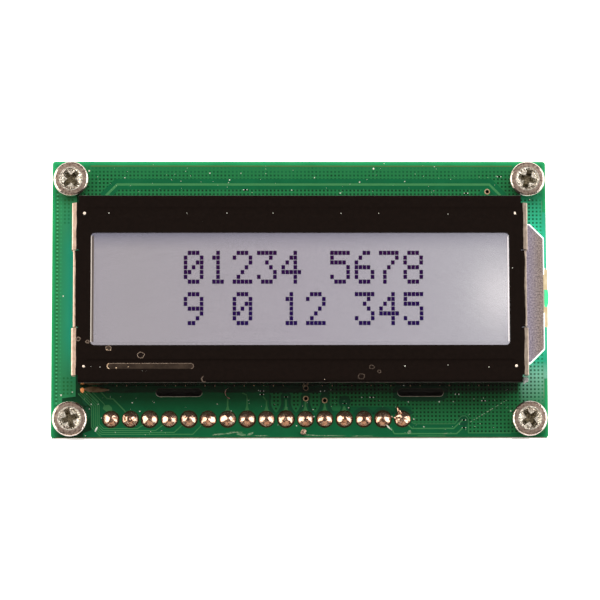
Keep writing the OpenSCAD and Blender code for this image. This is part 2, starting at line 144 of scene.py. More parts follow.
def shine(shader, colour, strength):  # even light of its own
    shader.inputs["Emission Color"].default_value = linearColour(colour)
    shader.inputs["Emission Strength"].default_value = strength


cameraSetup = {
    "elevation": 83.69, "heading": -9.26, "turn": 9.18,  # degrees
    "distance": 0.3621, "lens": 165.45, "sensor": 36,
    "aim": (0.00005, -0.00012, 0.0116),
}


def placeCamera():
    s = cameraSetup
    tilt, heading, turn = (math.radians(s[k]) for k in ("elevation", "heading", "turn"))
    back = Vector((math.cos(tilt) * math.sin(heading), -math.cos(tilt) * math.cos(heading), math.sin(tilt)))
    right = Vector((math.cos(heading), math.sin(heading), 0))
    basis = Matrix((right, back.cross(right), back)).transposed() @ Matrix.Rotation(turn, 3, "Z")
    data = bpy.data.cameras.new("camera")
    data.lens, data.sensor_width = s["lens"], s["sensor"]
    data.clip_start, data.clip_end = 0.01, 20
    camera = bpy.data.objects.new("camera", data)
    camera.matrix_world = Matrix.Translation(Vector(s["aim"]) + back * s["distance"]) @ basis.to_4x4()
    scene.collection.objects.link(camera)
    scene.camera = camera


lightSetup = {
    # name: place, point that it faces, size across and along, radiance, hex colour
    "softbox_left": ((-0.42, 0.02, 0.23), (0, 0, 0.10), (0.56, 0.44), 0.9, "fff3e6"),
    "softbox_right": ((0.42, 0.02, 0.23), (0, 0, 0.10), (0.56, 0.44), 0.9, "fff6f0"),
    "softbox_back": ((0.0, 0.36, 0.46), (0, 0, 0.01), (1.3, 0.46), 2.9, "fffaf4"),
    "strip_left": ((-0.419, 0.02, 0.23), (0, 0, 0.10), (0.56, 0.44), 3.4, "fff3e6"),
    "strip_right": ((0.419, 0.02, 0.23), (0, 0, 0.10), (0.56, 0.44), 3.2, "fff6f0"),
    "strip_front": ((0.0, -0.42, 0.22), (0, 0, 0.02), (0.5, 0.26), 0.8, "ffdcc0"),
    "roomAbove": "78655b", "roomFront": "382e2a",  # the dim room that level faces mirror
    "frontEdge": (-0.16, -0.02),                    # where the room goes dark towards the front
    "roomBack": "6e574b", "backEdge": (0.35, 0.6),  # its paler far wall
    "cardGlow": 0.93,                               # light that the white card sends back by itself
}


def hangLights():
    for name in ("softbox_left", "softbox_right", "softbox_back", "strip_left", "strip_right", "strip_front"):
        place, target, (across, along), radiance, tint = lightSetup[name]
        data = bpy.data.lights.new(name, "AREA")
        data.shape, data.size, data.size_y = "RECTANGLE", across, along
        data.energy, data.color = radiance * math.pi * across * along, linearColour(tint)[:3]
        lamp = bpy.data.objects.new(name, data)
        lamp.location = place
        lamp.visible_glossy = name != "softbox_back"  # the back box only fills, and the strips only shine
        lamp.visible_diffuse = not name.startswith("strip")
        lamp.rotation_euler = (Vector(place) - Vector(target)).to_track_quat("Z", "Y").to_euler()
        scene.collection.objects.link(lamp)
    world = bpy.data.worlds.new("studio")
    world.use_nodes = True
    tree = world.node_tree
    axes = addNode(tree, "SeparateXYZ", {}, {0: addNode(tree, "TexCoord").outputs["Generated"]})
    low, high = lightSetup["frontEdge"]
    towardsBack = addNode(tree, "MapRange", {"From Min": low, "From Max": high}, {"Value": axes.outputs["Y"]})
    room = tinted(tree, towardsBack.outputs["Result"], lightSetup["roomFront"], lightSetup["roomAbove"])
    low, high = lightSetup["backEdge"]
    farWall = addNode(tree, "MapRange", {"From Min": low, "From Max": high}, {"Value": axes.outputs["Y"]})
    room = tinted(tree, farWall.outputs["Result"], room, lightSetup["roomBack"])
    tree.links.new(room, tree.nodes["Background"].inputs["Color"])
    scene.world = world


def layFloor():  # a wide sheet of matt white board
    mesh = bpy.data.meshes.new("studio_floor")
    half, z = 2.5, cadBox[0].z - 0.02 * mm
    mesh.from_pydata([(-half, -half, z), (half, -half, z), (half, half, z), (-half, half, z)], [],
                     [(0, 1, 2, 3)])
    floor = bpy.data.objects.new("studio_floor", mesh)
    scene.collection.objects.link(floor)
    material, tree, shader, place = startMaterial("matt white card, pressed", "f4f4f2", 0.9)
    cloudy(tree, shader, place, 4, "f3f3f1", "f6f6f5")
    shine(shader, "ffffff", lightSetup["cardGlow"])
    mesh.materials.append(material)


placeCamera()
hangLights()
layFloor()
print("camera, lights and floor are set")


maskSetup = {
    "opening": "0b3a25", "openingGlow": "2cc47a",  # mask over bare laminate in the copper's small openings
    "cutDark": "5d6a3a", "cutPale": "8d9660",      # the routed sides
    "plies": 1.3,                                  # millimetres from one glass ply's line to the next
    "reach": 0.7,                                  # millimetres that light comes in from the board's edges
}
maskKinds = {  # what lies under the mask, its colour, and its colour where light leaks in at an edge
    "copper": ("over copper, screened and cured", "237f4b", "237f4b"),
    "olive": ("over a copper edge, screened and cured", "5e7c46", "5e7c46"),
    "bare": ("over wide laminate, screened and cured", "0c6840", "1fa465"),
    "gap": ("in a copper gap, screened and cured", "12553a", "1fa465"),
    "track": ("over a copper track, screened and cured", "43905a", "237f4b"),
    "sideLand": ("over a wide copper land, screened and cured", "339461", "339461"),
    "window": ("over an opening lit from the edge, cured", "4ec488", "4ec488"),
    "dimWindow": ("over an opening lit from far, cured", "37a66c", "37a66c"),
    "litBorder": ("lit from the guide's edge, cured", "2aa47e", "2aa47e"),
    "shade": ("between lit openings, cured", "277a48", "277a48"),
}
spillSetup = {  # the light guide's light on the mask beside the display's two ends; millimetres
    "left": "149c88", "right": "34bf96", "bared": "a8f4dc",
    "beside": (28.6, 29.2),            # where it comes out from under the bezel
    "reach": 31.6, "reachRight": 2.4,  # how far out it gets, and how much farther at the right
    "half": 12, "halfRight": 3,        # half its length along the end, and how much more at the right
    "middle": 0.8,                     # its middle, along Y
    "soft": 2.3, "fade": 6,            # how softly it ends, outwards and along the end
    "baredFrom": (-8.2, -10.0),        # past the tape's lower corner nothing covers the guide
}


def edgeGlow(tree, place):
    # 1 at the board's edges and 0 well inside: light that soaks into the laminate through its sides
    axes = addNode(tree, "SeparateXYZ", {}, {0: place})
    inX = compute(tree, "SUBTRACT", boardHigh.x, compute(tree, "ABSOLUTE", axes.outputs["X"]))
    inY = compute(tree, "SUBTRACT", boardHigh.y, axes.outputs["Y"])  # the lower edge stays dull
    nearest = compute(tree, "SMOOTH_MIN", inX, inY, 0.3 * mm)
    return compute(tree, "POWER", 2.718, compute(tree, "MULTIPLY", nearest, -perMetre(maskSetup["reach"])))


def guideSpill(tree, place, skin, share):
    s = spillSetup
    axes = addNode(tree, "SeparateXYZ", {}, {0: place})
    atRight = compute(tree, "GREATER_THAN", axes.outputs["X"], 0)
    away = compute(tree, "ABSOLUTE", axes.outputs["X"])
    reach = compute(tree, "MULTIPLY_ADD", atRight, s["reachRight"] * mm, s["reach"] * mm)
    out = compute(tree, "DIVIDE", compute(tree, "SUBTRACT", reach, away), s["soft"] * mm)
    half = compute(tree, "MULTIPLY_ADD", atRight, s["halfRight"] * mm, s["half"] * mm)
    along = compute(tree, "ABSOLUTE", compute(tree, "SUBTRACT", axes.outputs["Y"], s["middle"] * mm))
    fade = compute(tree, "DIVIDE", compute(tree, "SUBTRACT", half, along), s["fade"] * mm)
    out, fade = (addNode(tree, "Clamp", {}, {0: part}).outputs[0] for part in (out, fade))
    low, high = s["beside"]
    beside = addNode(tree, "MapRange", {"From Min": low * mm, "From Max": high * mm, "To Max": share},
                     {"Value": away})
    spill = compute(tree, "MULTIPLY", compute(tree, "MULTIPLY", out, fade), beside.outputs["Result"])
    low, high = s["baredFrom"]
    bared = addNode(tree, "MapRange", {"From Min": low * mm, "From Max": high * mm},
                    {"Value": axes.outputs["Y"]})
    right = tinted(tree, bared.outputs["Result"], s["right"], s["bared"])
    return tinted(tree, spill, skin, tinted(tree, atRight, s["left"], right))


def solderMask(name, far, near, spill=1.0):
    # Liquid photo-imaged epoxy, screened on and cured: a glassy green skin that lets what is under it
    # show, darker over bare laminate, paler over copper, and bright where light leaks in at an edge
    material, tree, shader, place = startMaterial(name, far, 0.2)
    glow = edgeGlow(tree, place)
    cloud = mottle(tree, place, 2.5, -0.07, 0.07)
    amount = addNode(tree, "Clamp", {}, {0: compute(tree, "ADD", glow, cloud)}).outputs[0]
    tree.links.new(guideSpill(tree, place, tinted(tree, amount, far, near), spill), shader.inputs["Base Color"])
    tree.links.new(mottle(tree, place, 1.5, 0.14, 0.26), shader.inputs["Roughness"])
    shader.inputs["Specular IOR Level"].default_value = 0.35
    relief(tree, shader, mottle(tree, place, 0.7, 0, 1), 0.004)
    return material, tree, shader, place


def boardMaterial():
    # the same mask on the faces, and routed glass-epoxy on the cut sides: pale, matt, with its plies showing
    material, tree, shader, place = solderMask("solder mask on laminate, screened and cured",
                                               maskSetup["opening"], maskSetup["openingGlow"], spill=0.12)
    skin = shader.inputs["Base Color"].links[0].from_socket
    facing = addNode(tree, "SeparateXYZ", {}, {0: addNode(tree, "NewGeometry").outputs["Normal"]})
    side = compute(tree, "LESS_THAN", compute(tree, "ABSOLUTE", facing.outputs["Z"]), 0.5)
    wave = {"bands_direction": "Z", "Scale": perMetre(maskSetup["plies"]), "Distortion": 1.5}
    plies = addNode(tree, "TexWave", wave, {"Vector": place})
    cut = tinted(tree, plies.outputs["Fac"], maskSetup["cutDark"], maskSetup["cutPale"])
    tree.links.new(tinted(tree, side, skin, cut), shader.inputs["Base Color"])
    return material


bezelSetup = {
    "paint": ("0a0605", "0b0706", "120c0a"),
    # the flange bends' pale colours, a painted highlight: at the left end and at the right end
    "bendHighlightLeft": ("dcc0ab", "f2dccb"), "bendHighlightRight": ("968b80", "bfb4a6"),
    "highlightOuter": 0.62, "highlightMiddle": 0.5,  # millimetres in from the outer flanges' outer face
    "middleHalf": 4.95,                    # half the middle flange's length
    "highlightDown": 3.2,                       # how far down from the face the painted bend highlight reaches
    "levelled": (0.3, 0.62, 0.84),         # slopes that the coat levels, from and to, and how far
}


def bezelMaterial():
    # Tin-plated steel strip, roller-coated satin black before it is stamped: nearly black and smooth;
    # the bends of the short flanges are painted pale and half metallic, as the side lamps' highlight
    s = bezelSetup
    material, tree, shader, place = startMaterial("black coated tinplate, stamped and folded",
                                                   s["paint"][0], 0.2)
    axes = addNode(tree, "SeparateXYZ", {}, {0: place})
    away = compute(tree, "ABSOLUTE", axes.outputs["X"])
    along = compute(tree, "ABSOLUTE", compute(tree, "SUBTRACT", axes.outputs["Y"], bezelMiddle * mm))
    wander = mottle(tree, place, 2.2, -0.07 * mm, 0.07 * mm)
    isMiddle = compute(tree, "LESS_THAN", along, s["middleHalf"] * mm)
    # where the painted highlight lies: the outer part of each short flange's upper bend
    outer, middle = (bezelHigh.x - s[key] * mm for key in ("highlightOuter", "highlightMiddle"))
    edge = compute(tree, "MULTIPLY_ADD", isMiddle, middle - outer, outer)
    past = compute(tree, "SUBTRACT", compute(tree, "ADD", away, wander), edge)
    bare = addNode(tree, "MapRange", {"From Min": -0.03 * mm, "From Max": 0.03 * mm}, {"Value": past})
    high = compute(tree, "GREATER_THAN", axes.outputs["Z"], bezelHigh.z - s["highlightDown"] * mm)
    bare = compute(tree, "MULTIPLY", bare.outputs["Result"], high)
    coat = tinted(tree, mottle(tree, place, 0.5, 0, 1), *s["paint"][1:])
    # the right end's bends are painted greyer, where the lamps fall on them less brightly
    rightEnd = compute(tree, "GREATER_THAN", axes.outputs["X"], 0)
    highlightMottle = mottle(tree, place, 0.6, 0, 1)
    metal = tinted(tree, rightEnd, *[tinted(tree, highlightMottle, *s[key]) for key in ("bendHighlightLeft", "bendHighlightRight")])
    tree.links.new(tinted(tree, bare, coat, metal), shader.inputs["Base Color"])
    tree.links.new(compute(tree, "MULTIPLY", bare, 0.5), shader.inputs["Metallic"])
    rough = compute(tree, "MULTIPLY_ADD", bare, 0.26, mottle(tree, place, 0.6, 0.12, 0.2))
    tree.links.new(rough, shader.inputs["Roughness"])
    relief(tree, shader, mottle(tree, place, 0.5, 0, 1), 0.001)
    # the coat runs into the beads' soft slopes and levels them, so they hardly show in its gloss
    normal = addNode(tree, "NewGeometry").outputs["Normal"]
    low, high, most = s["levelled"]
    level = addNode(tree, "MapRange", {"From Min": low, "From Max": high, "To Max": most},
                    {"Value": addNode(tree, "SeparateXYZ", {}, {0: normal}).outputs["Z"]})
    levelled = addNode(tree, "Mix", {"data_type": "VECTOR"}, {0: level.outputs["Result"], 4: normal})
    levelled.inputs[5].default_value = (0, 0, 1)
    tree.links.new(levelled.outputs[1], shader.inputs["Normal"].links[0].from_node.inputs["Normal"])
    return material


screwSetup = {
    "worn": ("7f6e64", "c2b2a6"), "bright": ("a89c90", "f4ece4"), "struck": ("6c6a58", "fffdf4"),
    # the recess floor's painted shade: its colours, and how much of it shows
    "recessShade": ("1c1a12", "94865e"), "recessShadeShare": 0.86,
    "recessShadeFrom": (0.4, 1.0),  # millimetres below the head's top
    "dish": 1.56,           # radius of the struck part, millimetres
}


def steelScrew():
    # Mild steel wire, cold headed and nickel plated: the level top dulled brownish grey by handling, with
    # forging marks; the rim and the driven recess still bright, and the recess floor painted dark as its shade
    s = screwSetup
    material, tree, shader, place = startMaterial("nickel plated steel, cold headed", "a08e84", 0.3, 0.55)
    facing = addNode(tree, "SeparateXYZ", {}, {0: addNode(tree, "NewGeometry").outputs["Normal"]})
    dull = addNode(tree, "MapRange", {"From Min": 0.955, "From Max": 0.99}, {"Value": facing.outputs["Z"]})
    dull = dull.outputs["Result"]
    axes = addNode(tree, "SeparateXYZ", {}, {0: place})
    low, high = s["recessShadeFrom"]
    deep = addNode(tree, "MapRange", {"From Min": screwHigh - low * mm, "From Max": screwHigh - high * mm},
                   {"Value": axes.outputs["Z"]})
    inside = compute(tree, "GREATER_THAN", axes.outputs["Z"], boardTop + 0.2 * mm)
    deep = compute(tree, "MULTIPLY", deep.outputs["Result"],
                   compute(tree, "MULTIPLY", inside, compute(tree, "GREATER_THAN", facing.outputs["Z"], 0.2)))
    fromAxis = [compute(tree, "SUBTRACT", compute(tree, "ABSOLUTE", axes.outputs[name]), middle * mm)
                for name, middle in (("X", holeX), ("Y", holeY))]
    squares = compute(tree, "ADD", *[compute(tree, "MULTIPLY", side, side) for side in fromAxis])
    inDish = compute(tree, "MULTIPLY", inside, compute(tree, "LESS_THAN", squares, (s["dish"] * mm) ** 2))
    blotch = mottle(tree, place, 0.3, 0, 1)
    speck = mottle(tree, place, 0.2, 0, 1, 2.0)
    worn, bright = (tinted(tree, blotch, *s[key]) for key in ("worn", "bright"))
    struck, recessShade = (tinted(tree, speck, *s[key]) for key in ("struck", "recessShade"))
    skin = tinted(tree, inDish, tinted(tree, dull, bright, worn), struck)
    # painted shade: the recess floor darkens with depth
    skin = tinted(tree, compute(tree, "MULTIPLY", deep, s["recessShadeShare"]), skin, recessShade)
    tree.links.new(skin, shader.inputs["Base Color"])
    tree.links.new(compute(tree, "MULTIPLY_ADD", dull, -0.5, 0.97), shader.inputs["Metallic"])
    rough = compute(tree, "MULTIPLY_ADD", dull, 0.16, mottle(tree, place, 0.3, 0.1, 0.22))
    tree.links.new(rough, shader.inputs["Roughness"])
    deeper = compute(tree, "MULTIPLY_ADD", inDish, 4.0, 1.0)
    relief(tree, shader, compute(tree, "MULTIPLY", mottle(tree, place, 0.3, 0, 1), deeper), 0.02)
    return material


def solderAlloy():
    # Tin-lead solder, hand soldered with rosin flux: bright, with a tan bloom, and amber flux drying
    # round its foot
    material, tree, shader, place = startMaterial("tin-lead solder, hand soldered", "d8c8b8", 0.14, 0.9)
    axes = addNode(tree, "SeparateXYZ", {}, {0: place})
    foot = addNode(tree, "MapRange", {"From Min": boardTop, "From Max": boardTop + 0.3 * mm,
                                      "To Min": 1.0, "To Max": 0.0}, {"Value": axes.outputs["Z"]})
    stain = compute(tree, "MULTIPLY", foot.outputs["Result"], mottle(tree, place, 0.7, 0.5, 1.0))
    bright = tinted(tree, mottle(tree, place, 0.5, 0, 1), "c2957a", "e8cfba")
    tree.links.new(tinted(tree, stain, bright, "8a5636"), shader.inputs["Base Color"])
    tree.links.new(mottle(tree, place, 0.5, 0.16, 0.3), shader.inputs["Roughness"])
    relief(tree, shader, mottle(tree, place, 0.45, 0, 1), 0.02)
    return material


def polariserFilm():
    # Iodine-dyed PVA between triacetate films, cast, with an anti-glare matt face: a smoky lavender veil
    material, tree, shader, place = startMaterial("polarising film, cast, anti-glare", "8d8694", 0.45)
    cloudy(tree, shader, place, 5, "88828f", "938c99")
    shader.inputs["Alpha"].default_value = 0.14
    relief(tree, shader, mottle(tree, place, 0.12, 0, 1), 0.001)
    return material


def floatGlass():
    # Soda-lime float glass, cut and ground: clear, faintly green where its sides show
    material, tree, shader, place = startMaterial("soda-lime glass, float, ground edges", "b9c9c0",
                                                   0.06, 0.0, 1.52)
    shader.inputs["Alpha"].default_value = 0.04
    tree.links.new(mottle(tree, place, 2, 0.03, 0.1), shader.inputs["Roughness"])
    return material


glowSetup = {  # millimetres
    # the lit ground along the display, from its left end: place and colour
    "along": ((0.0, "aea7af"), (0.1, "ada6ad"), (0.5, "b1aab5"), (0.78, "b9b4be"), (0.93, "bdbac3"),
              (1.0, "bfbcc5")),
    "halfWide": 27,
    "hot": "f2edf1", "hotPlace": (27.2, 0.4), "hotSize": (4.4, 4.6),  # the bright spot beside the lamp
    "topShade": "6f7188", "topFrom": (6.2, 8.1),  # the cooler band below the window's upper edge
    "topShare": 0.62, "topLoss": -0.3,            # how strong it is at the left, and its change to the right
}


def litPolariser():
    # The rear polariser over the diffuser, lit from the right by the light guide: what shows as the
    # display's pale ground, brightest at the end where the lamp sits
    s = glowSetup
    material, tree, shader, place = startMaterial("rear polarising film, cast, lit from behind", "6f6a74", 0.5)
    axes = addNode(tree, "SeparateXYZ", {}, {0: place})
    along = addNode(tree, "MapRange", {"From Min": -s["halfWide"] * mm, "From Max": s["halfWide"] * mm},
                    {"Value": axes.outputs["X"]}).outputs["Result"]
    lit = addNode(tree, "ValToRGB", {"ramp": s["along"]}, {0: along}).outputs["Color"]
    squares = []
    for axis, middle, size in zip("XY", s["hotPlace"], s["hotSize"]):
        off = compute(tree, "DIVIDE", compute(tree, "SUBTRACT", axes.outputs[axis], middle * mm), size * mm)
        squares.append(compute(tree, "MULTIPLY", off, off))
    squares = compute(tree, "ADD", *squares)
    hot = compute(tree, "POWER", 2.718, compute(tree, "MULTIPLY", squares, -1.0))
    lit = tinted(tree, hot, lit, s["hot"])
    low, high = s["topFrom"]
    top = addNode(tree, "MapRange", {"From Min": low * mm, "From Max": high * mm}, {"Value": axes.outputs["Y"]})
    share = compute(tree, "MULTIPLY_ADD", along, s["topLoss"], s["topShare"])
    share = compute(tree, "MULTIPLY", top.outputs["Result"], share)
    tree.links.new(tinted(tree, share, lit, s["topShade"]), shader.inputs["Emission Color"])
    # the cell's own grain, fine as frost
    tree.links.new(mottle(tree, place, 0.25, 0.94, 1.06, 4.0), shader.inputs["Emission Strength"])
    return material


def plainMoulded(name, dark, light, rough, grain, depth=0.004, metallic=0.0, ior=1.5):
    material, tree, shader, place = startMaterial(name, dark, rough[0], metallic, ior)
    cloudy(tree, shader, place, grain, dark, light)
    tree.links.new(mottle(tree, place, grain / 2, *rough), shader.inputs["Roughness"])
    relief(tree, shader, mottle(tree, place, grain / 3, 0, 1), depth)
    return material


def lightGuide():
    # Cast clear acrylic, laser cut, lit by the lamp in its end: its cut sides glow white
    material, tree, shader, place = startMaterial("clear acrylic, cast, laser cut", "eef4f6", 0.2, 0.0, 1.49)
    axes = addNode(tree, "SeparateXYZ", {}, {0: place})
    end = addNode(tree, "MapRange", {"From Min": 26 * mm, "From Max": 29.5 * mm}, {"Value": axes.outputs["X"]})
    shader.inputs["Emission Color"].default_value = linearColour("eefdff")
    tree.links.new(compute(tree, "MULTIPLY", end.outputs["Result"], mottle(tree, place, 1.2, 0.9, 1.3)),
                   shader.inputs["Emission Strength"])
    return material


def glowingFrame():
    # polycarbonate filled with titanium white, moulded: it leaks a cool light from the guide inside it
    material = plainMoulded("white polycarbonate, moulded", "e2e6e2", "f0f2ef", (0.35, 0.5), 1.2)
    tree = material.node_tree
    shader = tree.nodes["Principled BSDF"]
    axes = addNode(tree, "SeparateXYZ", {}, {0: addNode(tree, "TexCoord").outputs["Object"]})
    outer = compute(tree, "GREATER_THAN", compute(tree, "ABSOLUTE", axes.outputs["X"]), 28.4 * mm)
    shader.inputs["Emission Color"].default_value = linearColour("b8fff0")
    tree.links.new(compute(tree, "MULTIPLY", outer, 0.25), shader.inputs["Emission Strength"])
    return material


def coverTape():
    # Aluminium foil tape, crinkled as it was pressed down: dull grey with a fine broken grain
    material, tree, shader, place = startMaterial("grey foil tape, hand laid", "8f8688", 0.42, 0.35)
    axes = addNode(tree, "SeparateXYZ", {}, {0: place})
    across = addNode(tree, "MapRange", {"From Min": 29.7 * mm, "From Max": 31.3 * mm},
                     {"Value": axes.outputs["X"]})
    grain = mottle(tree, place, 0.2, 0, 1, 5.0)
    grain = addNode(tree, "MapRange", {"From Min": 0.12, "From Max": 0.88}, {"Value": grain}).outputs["Result"]
    cool = tinted(tree, grain, "8c89a9", "c9c6de")
    warm = tinted(tree, grain, "7c7373", "bfb4af")
    tree.links.new(tinted(tree, across.outputs["Result"], cool, warm), shader.inputs["Base Color"])
    relief(tree, shader, grain, 0.012)
    return material


def goldPin():
    # Brass wire, drawn square and flash gold plated
    return plainMoulded("gold flashed brass, drawn", "c39a45", "dcb866", (0.22, 0.34), 0.8, 0.003, 1.0)


def chipPart(name, dark, light, middle):
    # Fired ceramic chip with tinned ends
    material, tree, shader, place = startMaterial(name, dark, 0.5)
    axes = addNode(tree, "SeparateXYZ", {}, {0: place})
    off = compute(tree, "ABSOLUTE", compute(tree, "SUBTRACT", axes.outputs["Y"], middle))
    metal = compute(tree, "GREATER_THAN", off, 0.64 * mm)
    body = tinted(tree, mottle(tree, place, 0.4, 0, 1), dark, light)
    tin = tinted(tree, mottle(tree, place, 0.3, 0, 1), "b9b6b0", "dcdad6")
    tree.links.new(tinted(tree, metal, body, tin), shader.inputs["Base Color"])
    tree.links.new(metal, shader.inputs["Metallic"])
    tree.links.new(mottle(tree, place, 0.3, 0.3, 0.5), shader.inputs["Roughness"])
    return material


def middleY(node):
    low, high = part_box(node)
    return (low.y + high.y) / 2


nodeFinishes = {
    "circuit_board": boardMaterial(),
    "bezel": bezelMaterial(),
    "front_polariser": polariserFilm(),
    "front_glass": floatGlass(),
    "rear_polariser": litPolariser(),
    # UV-cured epoxy, dispensed: a milky line
    "cell_seal": plainMoulded("sealing epoxy, dispensed and cured", "c9c4bb", "dad6ce", (0.4, 0.5), 0.5),
    # polyester film, filled white and drawn
    "diffuser_film": plainMoulded("white polyester film, drawn", "e6e6e6", "f2f2f2", (0.5, 0.6), 1.0, 0.001),
    "reflector_film": plainMoulded("white polyester film, voided", "e9e9e9", "f4f4f4", (0.5, 0.6), 1.0, 0.001),
    "light_guide": lightGuide(),
    # polycarbonate filled with titanium white, moulded: opaque, faintly glossy
    "backlight_frame": glowingFrame(),
    "backlight_led": plainMoulded("white lamp housing, moulded", "e8e4d8", "f4f1e8", (0.35, 0.45), 0.6),
    "cover_tape": coverTape(),
    # silicone with layers of carbon black, moulded and sliced: matt dark rubber
    "zebra_strip_upper": plainMoulded("layered silicone rubber, moulded and sliced", "3a3434", "5a5150",
                                      (0.7, 0.85), 0.4),
    # glass-filled nylon, moulded: dull black with a fine pitted skin
    "header_body": plainMoulded("black glass-filled nylon, moulded", "141414", "202020",
                                (0.45, 0.6), 0.3, 0.006),
    "header_pins": goldPin(),
    "solder_joints": solderAlloy(),
    # carbon-filled epoxy, poured over the chip and cured: black, softly glossy, faintly wavy
    "controller_blob": plainMoulded("black chip-cover epoxy, poured", "0d0d0e", "17171a",
                                    (0.2, 0.36), 2.4, 0.05),
    "chip_resistors": chipPart("chip resistor, fired ceramic", "101011", "1a1a1c", middleY("chip_resistors")),
    "chip_capacitors": chipPart("chip capacitor, fired ceramic", "9a7450", "b08a62",
                                middleY("chip_capacitors")),
    "mounting_screws": steelScrew(),
    # free-cutting brass bar, turned and nickel plated
    "spacers": plainMoulded("nickel plated brass, turned", "8b867c", "9f9a90", (0.3, 0.4), 1.6, 0.001, 1.0),
}
nodeFinishes["rear_glass"] = nodeFinishes["front_glass"]
nodeFinishes["zebra_strip_lower"] = nodeFinishes["zebra_strip_upper"]
nodeFinishes["driver_blob"] = nodeFinishes["controller_blob"]

for nodeName, finish in nodeFinishes.items():
    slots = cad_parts[nodeName].data.materials
    if len(slots) == 0:
        slots.append(finish)
    for i in range(len(slots)):
        slots[i] = finish
print("finishes are on", len(nodeFinishes), "CAD pieces")


def placePiece(name, mesh, material, thickness=None):
    mesh.materials.append(material)
    piece = bpy.data.objects.new(name, mesh)
    scene.collection.objects.link(piece)
    if thickness:
        solid = piece.modifiers.new("thickness", "SOLIDIFY")
        solid.thickness, solid.offset = thickness * mm, 1
    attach(piece, "root")
    return piece


def closeMesh(name, work, smooth=True):
    mesh = bpy.data.meshes.new(name)
    work.to_mesh(mesh)
    work.free()
    if smooth:
        mesh.shade_smooth()
    return mesh


def joinRows(work, rows):  # side faces between closed rows of points
    for low, high in zip(rows, rows[1:]):
        for k in range(len(low)):
            after = (k + 1) % len(low)
            work.faces.new((low[k], low[after], high[after], high[k]))


class FlatSheet:  # gathers outlines on one plane; points are millimetres
    def __init__(self, z):
        self.z = z
        self.points, self.faces = [], []

    def outline(self, points):
        start = len(self.points)
        self.points += [(x * mm, y * mm, self.z) for x, y in points]
        self.faces.append(list(range(start, start + len(points))))

    def pierced(self, outer, *holes):  # an outline with openings
        start = len(self.points)
        loops = [[Vector((x, y, 0)) for x, y in loop] for loop in (outer, *holes)]
        self.points += [(p.x * mm, p.y * mm, self.z) for loop in loops for p in loop]
        self.faces += [[start + k for k in corners] for corners in geometry.tessellate_polygon(loops)]

    def strip(self, inner, outer):  # band between two open or closed rows of points
        start, n = len(self.points), len(inner)
        self.points += [(x * mm, y * mm, self.z) for x, y in inner + outer]
        for i in range(n - 1):
            self.faces.append([start + i, start + i + 1, start + n + i + 1, start + n + i])

    def disc(self, x, y, radius, sides=24):
        self.outline([(x + radius * math.cos(i * math.tau / sides), y + radius * math.sin(i * math.tau / sides))
                      for i in range(sides)])

    def ring(self, x, y, inner, outer, sides=32, start=0.0, sweep=math.tau):
        rows = [[(x + r * math.cos(start + i * sweep / sides), y + r * math.sin(start + i * sweep / sides))
                 for i in range(sides + 1)] for r in (outer, inner)]
        self.strip(rows[0], rows[1])

    def track(self, points, width):  # a trace of even width with mitred corners
        left, right = [], []
        for i, (x, y) in enumerate(points):
            before = Vector(points[max(i - 1, 0)])
            after = Vector(points[min(i + 1, len(points) - 1)])
            here = Vector((x, y))
            first = (here - before) if i else (after - here)
            second = (after - here) if i < len(points) - 1 else (here - before)
            first.normalize()
            second.normalize()
            across = (first + second).normalized()
            reach = width / 2 / max(across.dot(second), 0.4)
            normal = Vector((-across.y, across.x)) * reach
            left.append((x + normal.x, y + normal.y))
            right.append((x - normal.x, y - normal.y))
        self.strip(right, left)

    def mesh(self, name):
        made = bpy.data.meshes.new(name)
        made.from_pydata(self.points, [], self.faces)
        work = bmesh.new()
        work.from_mesh(made)
        bmesh.ops.recalc_face_normals(work, faces=work.faces)
        for face in work.faces:
            if face.normal.z < 0:
                face.normal_flip()
        work.to_mesh(made)
        work.free()
        return made

    def place(self, name, material, slot="solder_mask", thickness=0.004):
        return placePiece(name, self.mesh(name), material, thickness)


hatchSetup = {"pitch": 0.5, "opening": 0.25}


def hatchInto(sheet, left, low, columns, rows, skip=None):
    # copper net: one lattice of shared points, with every second cell of every second row left open
    pitch, opening = hatchSetup["pitch"], hatchSetup["opening"]
    bar = (pitch - opening) / 2

    def ticks(start, count):
        out = [start]
        for i in range(count):
            out += [start + i * pitch + bar, start + i * pitch + bar + opening]
        return out + [start + count * pitch]

    xs, ys = ticks(left, columns), ticks(low, rows)
    start, wide = len(sheet.points), len(xs)
    sheet.points += [(x * mm, y * mm, sheet.z) for y in ys for x in xs]
    for j in range(len(ys) - 1):
        for i in range(len(xs) - 1):
            isOpen = i % 2 == 1 and j % 2 == 1
            if isOpen or (skip and skip((xs[i] + xs[i + 1]) / 2, (ys[j] + ys[j + 1]) / 2)):
                continue
            a = start + j * wide + i
            sheet.faces.append([a, a + 1, a + wide + 1, a + wide])


pinPitch = 2.54
pinLow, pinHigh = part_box("header_pins")
rowX = pinLow.x / mm + 0.32
rowY = (pinLow.y + pinHigh.y) / 2 / mm
padX = [rowX + i * pinPitch for i in range(16)]


maskFinishes = {key: solderMask("solder mask " + under, far, near)[0]
                for key, (under, far, near) in maskKinds.items()}
layerSetup = {"copper": 0.002, "bare": 0.014, "track": 0.022, "opening": 0.030, "metal": 0.034}  # millimetres


def layer(name):  # height of one of the board's printed layers
    return boardTop + layerSetup[name] * mm


def octagon(x, y, wide, high, cut):
    w, h = wide / 2, high / 2
    return [(x - w, y - h + cut), (x - w + cut, y - h), (x + w - cut, y - h), (x + w, y - h + cut),
            (x + w, y + h - cut), (x + w - cut, y + h), (x - w + cut, y + h), (x - w, y + h - cut)]


